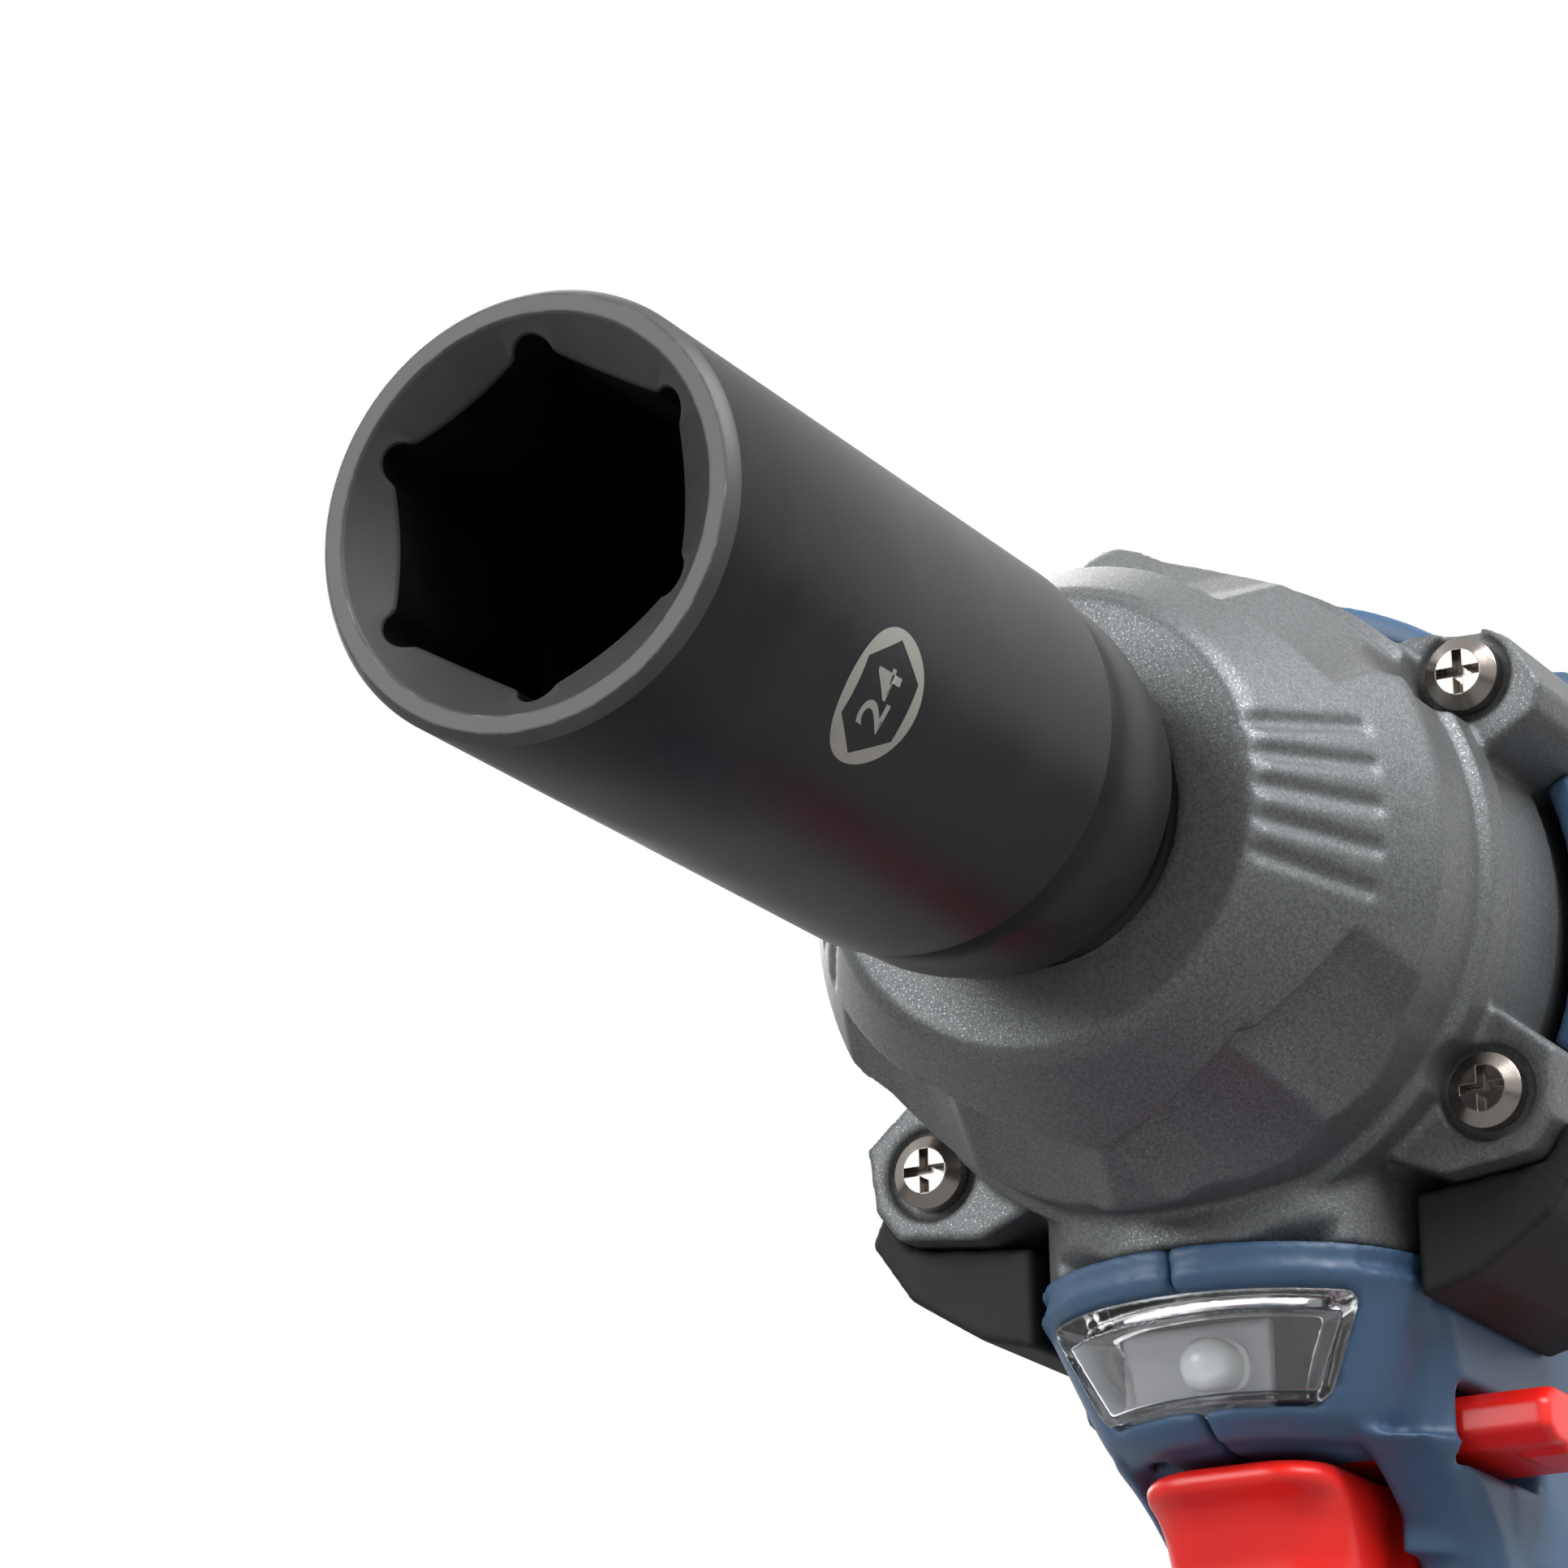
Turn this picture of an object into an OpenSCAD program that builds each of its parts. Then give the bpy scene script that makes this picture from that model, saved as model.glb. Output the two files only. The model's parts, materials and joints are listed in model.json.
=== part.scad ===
// Cordless impact wrench with a deep impact socket on its square drive.
// +X points out of the socket's mouth, +Y to the tool's left and +Z up.
// The origin is the centre of the battery pack's flat underside.

/* [Overall] */
// Height of the drive axis above the surface that the battery stands on
axis_z = 195; // [180:1:220]
// Length of the motor barrel from the hammer case to the rear cover
barrel_len = 85; // [80:1:100]
// Outer radius of the motor barrel
barrel_r = 33.5; // [32.5:0.5:37]
// Wall of the plastic housing
shell_wall = 2.6; // [2:0.1:3]

/* [Impact socket] */
// Length of the deep socket
socket_len = 82.5; // [70:0.5:100]
// Outer radius of the socket's barrel
socket_r = 17.5; // [16.5:0.1:21]
// Width across the flats of the socket's hexagon
hex_af = 24; // [18:0.5:25]
// Depth of the hexagon from the socket's face
hex_depth = 24; // [15:1:30]
// Radius of the clearance bore behind the hexagon
relief_r = 11.6; // [9:0.1:12]
// Depth of the square drive hole in the socket
drive_depth = 25; // [22:0.5:28]

/* [Drive] */
// Width across the flats of the square drive
drive_af = 12.7; // [9.5:0.1:13]
// Length of the square drive
drive_len = 24; // [20:0.5:26]
// Radius of the anvil's round shaft
anvil_r = 9; // [9:0.1:9.6]
// Room between the anvil and its bushing, and between other turning shafts and their seats
run_gap = 0.05; // [0.02:0.01:0.08]
// Room between parts that slide or turn past each other with no fit
free_gap = 0.3; // [0.25:0.05:0.5]

/* [Hammer case] */
// Radius of the nose's front face
nose_r = 20.6; // [18:0.1:22]
// Radius of the shoulder where the cone meets the case's body
shoulder_r = 30.1; // [29.9:0.1:31.5]
// Length of the cone from the shoulder to the nose
cone_len = 17.7; // [15:0.1:22]
// Radius of the space that the hammer turns in
case_bore_r = 25.7; // [25.4:0.1:26]
// Distance of each case screw from the middle plane
lug_y = 27; // [26:0.1:28]
// Height of the upper case screws above the drive axis
lug_up = 17.9; // [16:0.1:19]
// Depth of the lower case screws below the drive axis
lug_down = 20.3; // [19:0.1:21.5]

/* [Gears] */
// Module of the gear teeth
tooth_m = 0.8; // [0.76:0.01:0.82]
// Width of the planet gears
planet_w = 7.6; // [6:0.1:8]

/* [Motor] */
// Length of the stator's laminations
stator_len = 24; // [18:0.5:25]
// Radius of the stator
stator_r = 26; // [25:0.1:27]
// Radius of the rotor
rotor_r = 12.4; // [11:0.1:12.6]

/* [Grip] */
// Half the width of the handle
grip_half_w = 17; // [16:0.5:18]
// Depth of the handle from front to back
grip_depth = 42; // [41:0.5:45]
// Lean of the handle towards the rear
grip_lean = 8; // [5:0.5:10]
// Thickness of the soft rubber on the handle
rubber_t = 1.6; // [1.2:0.1:1.8]
// Travel of the trigger
trigger_travel = 7; // [4:0.5:8]

/* [Battery] */
// Length of the battery pack
pack_len = 118; // [116:1:130]
// Half the width of the battery pack
pack_half_w = 38; // [37:0.5:42]
// Height of the battery pack up to its top deck
pack_h = 61.7; // [58:0.1:66]
// Radius of one cell
cell_r = 9; // [8.5:0.1:9.1]
// Length of one cell
cell_len = 65; // [60:0.5:66]

/* [Hidden] */
$fn = 72;
eps = 0.01;
far = 300;

// Stations along the drive axis, measured from the housing's front edge.
edge_x = 15;
rear_x = edge_x - barrel_len;
band_x = edge_x + 13;
groove_x = edge_x + 18.5;
shoulder_x = edge_x + 29.3;
nose_x = shoulder_x + cone_len;
case_rear_x = edge_x - 27;
case_end_x = nose_x - 21.8;
shaft_end_x = nose_x + 3;
socket_x = nose_x + 5.5;
socket_face_x = socket_x + socket_len;
drive_tip_x = shaft_end_x + drive_len;
lug_x = edge_x + 14;

// Hammer mechanism.
ear_t = 9;
ear_r = case_bore_r - 1.4;
ear_half = 5;
washer_t = 1;
ear_front_x = case_end_x - washer_t - 0.1;
ear_rear_x = ear_front_x - ear_t;
hammer_r = case_bore_r - 0.9;
hammer_x0 = edge_x;
hammer_x1 = ear_rear_x - free_gap;
hammer_travel = 8;
spindle_r = 10;
pilot_r = 4;
pilot_len = 8;
ball_r = 2.4;
ball_x = edge_x + 5;
flange_x0 = edge_x - 17;
flange_x1 = flange_x0 + 4;
flange_r = 22;
spring_wire_r = 1.6;
spring_r = 17.4;
pocket_in_r = 13.2;
pocket_out_r = 21.5;
pocket_x = hammer_x0 + 8.5;
spring_washer_t = 1;

// Planetary gears: a sun of 12 teeth, planets of 21 and a ring of 54.
sun_teeth = 12;
planet_teeth = 21;
ring_teeth = 54;
planet_orbit_r = tooth_m * (sun_teeth + planet_teeth) / 2;
gear_x1 = flange_x0;
gear_x0 = gear_x1 - planet_w - 0.4;
carrier_x0 = gear_x0 - 4;
carrier_r = planet_orbit_r + 7.3;
hub_x0 = carrier_x0 - 6;
pin_r = 2.5;
sun_bore_r = sun_teeth * tooth_m / 2 + 1.5;
ring_out_r = case_bore_r - 0.1;

// Bearing plate and bearings.
plate_x1 = case_rear_x - run_gap;
plate_x0 = hub_x0 - 2;
plate_r = 29.2;
bearing_r = 11;
bearing_w = 7;
motor_shaft_r = 4;
front_bearing_x1 = plate_x0 - 0.3;
front_bearing_x0 = front_bearing_x1 - bearing_w;
spindle_bearing_r = 15;

// Motor.
stator_x1 = front_bearing_x1 - 11.7;
stator_x0 = stator_x1 - stator_len;
coil_over = 4;
tooth_w = 7;
bore_gap = 0.5;
shoe_t = 1.9;
yoke_t = 3.2;
rotor_x0 = stator_x0 + 1;
rotor_x1 = stator_x1 + 1;
board_x = stator_x1 + coil_over + 0.6;
fan_r = 24;
fan_x1 = stator_x0 - coil_over - 5;
fan_w = 7;
cover_x0 = rear_x - 18;
rear_bearing_x0 = cover_x0 + 4;
rear_bearing_x1 = rear_bearing_x0 + bearing_w;
shaft_x0 = rear_bearing_x0 + 0.5;
barrel_in_r = barrel_r - shell_wall;
cover_screw_r = barrel_r - 4.7;
cover_screw_len = 24;

// Neck under the barrel, with a round front that carries the lamp.
neck_top_z = axis_z - 25;
chin_top_z = axis_z - 32.6;
neck_bottom_z = axis_z - 49;
neck_nose_r = 18.5;
neck_nose_x = edge_x + 4.8;
neck_front_x = neck_nose_x + neck_nose_r;
neck_rear_x = edge_x - 51;

// Lamp: the lens is a trapezoid, wide at the top, wrapped round the neck's front.
lens_z = axis_z - 45.6;
lens_h = 8.6;
lens_low_y = 10.6;
lens_top_y = 14.2;
lens_round = 1.6;
lens_t = 2;
lamp_x = neck_front_x - 8.2;

// Handle, which leans about a line across its top.
grip_top_z = axis_z - 33;
grip_x = -11;
grip_pivot_z = axis_z - 52;
foot_base_z = pack_h + 0.3;
foot_deck_z = foot_base_z + 14;
foot_x0 = grip_x - grip_depth / 2 - 29;
foot_x1 = 46;
foot_half_w = pack_half_w - 2;
grip_corner = 13;
rubber_top_z = axis_z - 56;
rubber_low_z = foot_deck_z + 16;

// Trigger and selector.
slot_gap = 0.4;
trigger_top_z = neck_bottom_z - 0.7;
trigger_h = 34;
trigger_half_w = 10.5;
trigger_wall = 2.4;
trigger_front_x = edge_x + 16.4;
trigger_back_x = edge_x - 12;
trigger_face_t = 7;
trigger_hollow_x = trigger_front_x - trigger_face_t;
plunger_drop = 10;
spring_drop = 21;
switch_x0 = grip_x - 16;
switch_nose_x = trigger_back_x + 5;
switch_x1 = trigger_back_x - trigger_travel - 1;
switch_half_w = 9;
selector_z = neck_bottom_z - 0.2;
selector_h = 6;
selector_x0 = -2;
selector_len = 18;
selector_half_y = 22;
selector_shift = 4;
selector_notch = 1.7;
collar_z = neck_bottom_z - 8;
collar_x1 = edge_x;

// Case screws and small threads.
screw_r = 2;
screw_head_r = 3.4;
screw_gap = 0.2;
boss_r = 6.5;
lug_screw_len = 24;
insert_r = 3.2;
insert_hole_r = 1.65;
insert_len = 7;
hook_x = -20;
hook_z = foot_base_z + 11;
hook_w = 14;
hook_t = 2;
hook_gap = 15;
hook_rise = 34;

// Screws that join the housing halves: x, z and the depth of the head's seat from the middle plane.
house_screw_r = 1.5;
house_head_r = 2.8;
house_boss_r = 3.6;
barrel_screw_z = stator_r + 2.2;
house_screws = [
    [rear_x + 20, axis_z + barrel_screw_z, 14.5], [rear_x + 20, axis_z - barrel_screw_z, 14.5],
    [neck_rear_x + 10, neck_bottom_z + 5, 15], [grip_x - 16, rubber_low_z + 12, grip_half_w - 3],
    [foot_x1 - 14, foot_base_z + 13, foot_half_w - 8], [foot_x0 + 16.5, foot_base_z + 13.5, foot_half_w - 8]
];
lanyard_r = 2.5;
lanyard_x = foot_x0 + 7;
lanyard_z = foot_base_z + 11.4;

// Battery rails.
rail_gap = 0.4;
rail_neck_y = 25;
rail_lip_y = 28.5;
rail_h = 8.3;
rail_lip_h = 3.8;
rail_x0 = -52;
rail_x1 = 42;
pack_split_z = 30;
pack_wall = 2.4;
cell_pitch = 20;
contact_ys = [-14, -5, 5, 14];
blade_t = 0.6;
board_z = pack_h - 14.5;
pack_screw_x = pack_len / 2 - 6.4;
pack_screw_y = pack_half_w - 7;
pack_screw_r = 1.5;
pack_head_r = 2.6;
latch_w = 26;
latch_h = 15;
latch_drop = 4;
latch_z = pack_h - 18;
latch_t = 9;
latch_x1 = pack_len / 2 + 0.4;
latch_spring_len = 10;
latch_spring_x = latch_x1 - latch_t + 2.4;
gauge_z = pack_h - 13.7;
gauge_r = 4;

function inv(a) = tan(a) * 180 / PI - a;
function flank(n, r, slack) =
    let (base = tooth_m * n / 2 * cos(20), a = r > base ? acos(base / r) : 0)
    90 / n + inv(20) - inv(a) - slack * 360 / (PI * tooth_m * n);
function polar(r, a) = [r * cos(a), r * sin(a)];
// Outline of a spur gear with n teeth between a root and a tip radius.
function gear_outline(n, root, tip, slack) =
    let (steps = [0, 0.3, 0.55, 0.8, 1], last = len(steps) - 1)
    [for (i = [0:n - 1]) for (k = [0:2 * last + 1])
        let (up = k <= last, s = up ? steps[k] : steps[2 * last + 1 - k], r = root + (tip - root) * s)
        polar(r, 360 * i / n + (up ? -1 : 1) * flank(n, r, slack))];

// Places children with their Z axis along the drive axis, starting at x.
module on_axis(x) {
    translate([x, 0, axis_z]) rotate([0, 90, 0]) children();
}

// A body turned about the drive axis from points of radius and x.
module turned(points) {
    on_axis(0) rotate_extrude() polygon(points);
}

module tube(h, r_out, r_in) {
    difference() {
        cylinder(h = h, r = r_out);
        translate([0, 0, -1]) cylinder(h = h + 2, r = r_in);
    }
}

// Keeps the left half (side 1) or the right half (side -1) of its children.
module half(side) {
    intersection() {
        children();
        translate([-far, side > 0 ? 0 : -far, -far]) cube([2 * far, far, 2 * far]);
    }
}

// A round-cornered rectangle from x0 to x1 and half_w to each side.
module round_plan(x0, x1, half_w, r) {
    for (x = [x0 + r, x1 - r]) for (y = [-half_w + r, half_w - r]) translate([x, y]) circle(r = r);
    translate([x0 + r, -half_w]) square([x1 - x0 - 2 * r, 2 * half_w]);
    translate([x0, -half_w + r]) square([x1 - x0, 2 * half_w - 2 * r]);
}

module round_block(x0, x1, half_w, r, z0, z1) {
    translate([0, 0, z0]) linear_extrude(z1 - z0) round_plan(x0, x1, half_w, r);
}

// Screw along local -Z from its head's underside, with a cross recess in a pan head.
module pan_screw(len, r, head_r) {
    difference() {
        union() {
            translate([0, 0, -len]) cylinder(h = len + eps, r = r);
            cylinder(h = head_r * 0.45, r = head_r);
            translate([0, 0, head_r * 0.45]) cylinder(h = head_r * 0.25, r1 = head_r, r2 = head_r * 0.62);
        }
        for (a = [0, 90]) rotate(a) translate([-head_r * 0.6, -head_r * 0.13, head_r * 0.25])
            cube([head_r * 1.2, head_r * 0.26, head_r]);
    }
}

// Round wire wound into a compression spring along Z with closed ends.
module coil_spring(len, r, wire, turns) {
    sides = 6;
    per_turn = 14;
    last = turns * per_turn;
    lift = function (t) wire + (len - 2 * wire) * (t < 0.12 ? 0.25 * t / 0.12 * 0.12
        : t > 0.88 ? 1 - 0.25 * (1 - t) / 0.12 * 0.12 : 0.03 + (t - 0.12) / 0.76 * 0.94);
    points = [for (i = [0:last]) let (a = 360 * i / per_turn) for (k = [0:sides - 1])
        let (b = 360 * k / sides, d = r + wire * cos(b))
        [d * cos(a), d * sin(a), lift(i / last) + wire * sin(b)]];
    faces = concat(
        [[for (k = [0:sides - 1]) k]],
        [for (i = [0:last - 1]) for (k = [0:sides - 1]) let (n = (k + 1) % sides)
            [i * sides + k, (i + 1) * sides + k, (i + 1) * sides + n, i * sides + n]],
        [[for (k = [sides - 1:-1:0]) last * sides + k]]);
    polyhedron(points, faces);
}

module ball_bearing(w, r_out, r_in, balls) {
    ball = (r_out - r_in) * 0.26;
    mid = (r_out + r_in) / 2;
    tube(w, r_out, mid + ball * 0.62);
    tube(w, mid - ball * 0.62, r_in);
    for (i = [0:balls - 1]) rotate(360 * i / balls) translate([mid, 0, w / 2]) sphere(r = ball * 0.6);
}

// ---- Socket and anvil ----

module impact_socket() {
    corner_r = hex_af / 2 / cos(30);
    color("#2b2d30") difference() {
        turned([
            [0, socket_x], [socket_r - 2.9, socket_x], [socket_r - 1.9, socket_x + 1],
            [socket_r - 1.5, socket_x + 4], [socket_r - 1, socket_x + 5.8],
            [socket_r - 0.7, socket_x + 10], [socket_r - 0.9, socket_x + 14],
            [socket_r - 1.7, socket_x + 14.6], [socket_r - 1.7, socket_x + 16.4],
            [socket_r, socket_x + 17.1], [socket_r, socket_face_x - 0.9],
            [socket_r - 0.8, socket_face_x], [0, socket_face_x]
        ]);
        on_axis(socket_x - 1) translate([-drive_af / 2 - 0.1, -drive_af / 2 - 0.1, 0])
            cube([drive_af + 0.2, drive_af + 0.2, drive_depth + 1]);
        on_axis(socket_x + drive_depth - eps) cylinder(h = socket_len, r = relief_r);
        on_axis(socket_face_x - hex_depth) cylinder(h = hex_depth + 1, r = corner_r, $fn = 6);
        on_axis(socket_face_x - hex_depth) for (i = [0:5]) rotate(60 * i)
            translate([corner_r - 1.1, 0, 0]) cylinder(h = hex_depth + 1, r = 1.25, $fn = 24);
        turned([
            [0, socket_face_x - 4.2], [relief_r, socket_face_x - 4.2],
            [socket_r - 2.1, socket_face_x], [socket_r - 2.1, socket_face_x + 1], [0, socket_face_x + 1]
        ]);
    }
}

module anvil() {
    color("#6d6a66") difference() {
        union() {
            on_axis(ear_front_x - eps) cylinder(h = shaft_end_x - ear_front_x + eps, r = anvil_r);
            on_axis(ear_rear_x) cylinder(h = ear_t, r = 13);
            intersection() {
                on_axis(ear_rear_x) cylinder(h = ear_t, r = ear_r);
                translate([ear_rear_x, -ear_r, axis_z - ear_half]) cube([ear_t, 2 * ear_r, 2 * ear_half]);
            }
            intersection() {
                on_axis(shaft_end_x - eps) translate([-drive_af / 2, -drive_af / 2, 0])
                    cube([drive_af, drive_af, drive_len]);
                turned([
                    [0, shaft_end_x - 1], [10, shaft_end_x - 1], [10, drive_tip_x - 2.2],
                    [7.4, drive_tip_x], [0, drive_tip_x]
                ]);
            }
        }
        on_axis(ear_rear_x - 1) cylinder(h = pilot_len + 2, r = pilot_r + run_gap);
        on_axis(drive_tip_x - 7) tube(2.4, 12, drive_af / 2 - 1.3);
    }
}

// Split spring ring in the groove near the drive's tip, which grips the socket.
module friction_ring() {
    color("#8a8d90") difference() {
        on_axis(drive_tip_x - 6.9) tube(2.2, drive_af / 2 + 0.07, drive_af / 2 - 1.25);
        translate([drive_tip_x - 8, -1, axis_z]) cube([5, 2, 12]);
    }
}

// ---- Hammer case ----

// One screw lug: the outline is in Y and Z from the drive axis, extended along X.
module lug(x0, x1, side, up) {
    outline = up
        ? [[15, 8], [29, 11], [33.6, 13.6], [34.2, 16], [31.4, 20.8], [29.4, 22], [22, 22.4], [15, 20]]
        : [[15, -8], [28.6, -13.1], [33.4, -17.2], [32.7, -23.2], [30.6, -26], [22.4, -27], [15, -24]];
    pad(x0, x1, side, outline);
}

module at_lugs(x) {
    for (s = [-1, 1]) {
        translate([x, s * lug_y, axis_z + lug_up]) rotate([0, 90, 0]) children();
        translate([x, s * lug_y, axis_z - lug_down]) rotate([0, 90, 0]) children();
    }
}

module neck_plan(shrink) {
    translate([neck_nose_x, 0]) circle(r = neck_nose_r - shrink);
    translate([neck_rear_x + shrink, -neck_nose_r + shrink])
        square([neck_nose_x - neck_rear_x - shrink, 2 * (neck_nose_r - shrink)]);
}

module case_outer() {
    turned([
        [0, case_rear_x], [29.3, case_rear_x], [29.3, edge_x], [29.7, edge_x + 0.3],
        [29.7, band_x - 0.4], [30.3, band_x], [30.3, groove_x - 0.6], [29.2, groove_x],
        [29.2, shoulder_x - 2.4], [shoulder_r, shoulder_x - 1.4], [shoulder_r, shoulder_x],
        [nose_r + 0.6, nose_x - 1.2], [nose_r - 0.6, nose_x], [0, nose_x]
    ]);
    for (s = [-1, 1]) {
        lug(edge_x - 6, lug_x, s, true);
        lug(edge_x - 6, lug_x, s, false);
    }
    // Skirt that meets the neck's front.
    intersection() {
        translate([0, 0, chin_top_z + 0.1]) linear_extrude(axis_z - chin_top_z) neck_plan(0.6);
        translate([edge_x + 0.2, -far, 0]) cube([shoulder_x - edge_x - 5.7, 2 * far, axis_z - 15]);
    }
}

module hammer_case() {
    slope = atan((shoulder_r - nose_r) / cone_len);
    color("#85878a") difference() {
        case_outer();
        turned([
            [0, case_rear_x - 1], [case_bore_r, case_rear_x - 1], [case_bore_r, case_end_x],
            [anvil_r + 3, case_end_x], [anvil_r + 3, nose_x - 4], [anvil_r + 4, nose_x - 4],
            [anvil_r + 4, nose_x + 1], [0, nose_x + 1]
        ]);
        at_lugs(edge_x - 8) cylinder(h = 30, r = screw_r + screw_gap);
        // Scallops that let the screwdriver reach the screws.
        at_lugs(lug_x - 1) cylinder(h = 30, r = screw_head_r + 1);
        // Flutes on both sides of the cone.
        for (s = [0, 180]) for (a = [-16:8:16]) translate([0, 0, axis_z]) rotate([a + 90 + s, 0, 0])
            translate([nose_x + 1, 0, nose_r + 0.9]) rotate([0, slope - 90, 0])
            cylinder(h = cone_len * 0.72, r = 0.9, $fn = 24);
    }
}

module case_screws() {
    color("#9b948c") at_lugs(lug_x - 1 + 0.05) pan_screw(lug_screw_len, screw_r, screw_head_r);
}

module nose_bushing() {
    color("#a07a44") on_axis(case_end_x + 1.5)
        tube(nose_x - 4.2 - case_end_x - 1.5, anvil_r + 2.98, anvil_r + run_gap);
}

module nose_seal() {
    color("#1d1d1f") on_axis(nose_x - 3.9) difference() {
        tube(3.2, anvil_r + 3.95, anvil_r + 0.25);
        translate([0, 0, 2.4]) tube(2, anvil_r + 2.9, anvil_r + 1.2);
    }
}

module thrust_washer() {
    color("#d8d4c8") on_axis(ear_front_x + 0.05) tube(washer_t, 15, anvil_r + 0.3);
}

// ---- Hammer and spindle ----

module hammer() {
    color("#5f6164") difference() {
        union() {
            on_axis(hammer_x0) cylinder(h = hammer_x1 - hammer_x0, r = hammer_r);
            intersection() {
                on_axis(hammer_x1 - eps) tube(ear_t - 1, hammer_r, 13.4);
                for (s = [0, 180]) translate([hammer_x1 - 1, 0, axis_z]) rotate([s, 0, 0])
                    translate([0, 6, ear_half + free_gap]) cube([ear_t + 2, 22, 13]);
            }
        }
        on_axis(hammer_x0 - 1) cylinder(h = 40, r = spindle_r + run_gap);
        on_axis(hammer_x0 - 1) tube(pocket_x - hammer_x0 + 1, pocket_out_r, pocket_in_r);
        for (s = [-1, 1]) on_axis(hammer_x0 + 2) translate([s * spindle_r, 0, 0])
            cylinder(h = 40, r = ball_r + 0.2, $fn = 32);
    }
}

module spring_washer() {
    color("#9a9da0") on_axis(pocket_x - spring_washer_t - 0.1)
        tube(spring_washer_t, pocket_out_r - 0.3, pocket_in_r + 0.3);
}

module hammer_spring() {
    color("#77797c") on_axis(flange_x1 + 0.1)
        coil_spring(pocket_x - spring_washer_t - flange_x1 - 0.4, spring_r, spring_wire_r, 4);
}

module cam_balls() {
    color("#c9ccd0") for (s = [-1, 1]) on_axis(ball_x) translate([s * spindle_r, 0, 0]) sphere(r = ball_r);
}

module spindle() {
    color("#8b8e92") difference() {
        union() {
            on_axis(flange_x0) cylinder(h = flange_x1 - flange_x0, r = flange_r);
            on_axis(flange_x1 - eps) cylinder(h = ear_rear_x - 0.4 - flange_x1, r = spindle_r);
            on_axis(ear_rear_x - 0.5) cylinder(h = pilot_len, r = pilot_r);
            on_axis(carrier_x0) cylinder(h = gear_x0 - carrier_x0, r = carrier_r);
            on_axis(hub_x0) cylinder(h = 6 + eps, r = spindle_r);
            on_axis(gear_x0 - eps) for (i = [0:2]) rotate(120 * i + 60)
                translate([planet_orbit_r + 2.3, 0, 0]) cylinder(h = gear_x1 - gear_x0 + 2 * eps, r = 3.2);
        }
        on_axis(hub_x0 - 1) cylinder(h = gear_x1 - hub_x0 + 1, r = sun_bore_r);
        on_axis(carrier_x0 - 1) for (i = [0:2]) rotate(120 * i)
            translate([planet_orbit_r, 0, 0]) cylinder(h = 40, r = pin_r + 0.02);
        for (s = [-1, 1]) on_axis(ball_x) translate([s * spindle_r, 0, 0]) sphere(r = ball_r + 0.1);
    }
}

module planet_pins() {
    color("#b7babd") on_axis(carrier_x0) for (i = [0:2]) rotate(120 * i)
        translate([planet_orbit_r, 0, 0]) cylinder(h = flange_x1 - carrier_x0, r = pin_r);
}

module planet_gear(index) {
    pitch_r = planet_teeth * tooth_m / 2;
    color("#a3a6a9") on_axis(gear_x0 + 0.2) rotate(120 * index) translate([planet_orbit_r, 0, 0])
        rotate(180 - 180 / planet_teeth) difference() {
            linear_extrude(planet_w)
                polygon(gear_outline(planet_teeth, pitch_r - 1.1 * tooth_m, pitch_r + 0.8 * tooth_m, 0.07));
            translate([0, 0, -1]) cylinder(h = planet_w + 2, r = pin_r + run_gap);
        }
}

module planet_gear_1() { planet_gear(0); }
module planet_gear_2() { planet_gear(1); }
module planet_gear_3() { planet_gear(2); }

module ring_gear() {
    pitch_r = ring_teeth * tooth_m / 2;
    color("#7b7e81") on_axis(gear_x0) difference() {
        cylinder(h = gear_x1 - gear_x0, r = ring_out_r);
        translate([0, 0, -1]) linear_extrude(gear_x1 - gear_x0 + 2)
            polygon(gear_outline(ring_teeth, pitch_r - 0.75 * tooth_m, pitch_r + 1.15 * tooth_m, -0.07));
    }
}

// ---- Bearing plate and motor ----

module bearing_plate() {
    color("#9a9c9e") difference() {
        union() {
            on_axis(plate_x0) cylinder(h = plate_x1 - plate_x0, r = plate_r);
            on_axis(plate_x1 - eps) cylinder(h = gear_x0 - plate_x1, r = ring_out_r);
            on_axis(front_bearing_x0) cylinder(h = plate_x0 - front_bearing_x0 + eps, r = bearing_r + 2.5);
        }
        on_axis(carrier_x0 - 0.3) cylinder(h = 20, r = carrier_r + 0.4);
        on_axis(hub_x0 - 0.2) cylinder(h = 10, r = spindle_bearing_r + 0.02);
        on_axis(front_bearing_x0 - 1) cylinder(h = bearing_w + 1, r = bearing_r + 0.02);
        on_axis(front_bearing_x0 - 1) cylinder(h = 40, r = 6.5);
    }
}

module spindle_bearing() {
    color("#bfc2c5") on_axis(hub_x0 - 0.1) ball_bearing(5.7, spindle_bearing_r, spindle_r + run_gap, 12);
}

module front_bearing() {
    color("#bfc2c5") on_axis(front_bearing_x0)
        ball_bearing(bearing_w - 0.1, bearing_r, motor_shaft_r + run_gap, 8);
}

module rear_bearing() {
    color("#bfc2c5") on_axis(rear_bearing_x0 + 0.1)
        ball_bearing(bearing_w - 0.1, bearing_r, motor_shaft_r + run_gap, 8);
}

module rotor_shaft() {
    pitch_r = sun_teeth * tooth_m / 2;
    color("#9fa2a5") {
        on_axis(shaft_x0) cylinder(h = gear_x0 - 1 - shaft_x0, r = motor_shaft_r);
        on_axis(gear_x0 - 1 - eps) linear_extrude(gear_x1 - gear_x0 + 0.4)
            polygon(gear_outline(sun_teeth, pitch_r - 1.1 * tooth_m, pitch_r + 0.8 * tooth_m, 0.07));
    }
}

module magnet_slot(r_gap) {
    translate([rotor_r - 4.6 - r_gap, -5.5 - r_gap, 0])
        cube([2.4 + 2 * r_gap, 11 + 2 * r_gap, rotor_x1 - rotor_x0]);
}

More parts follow.
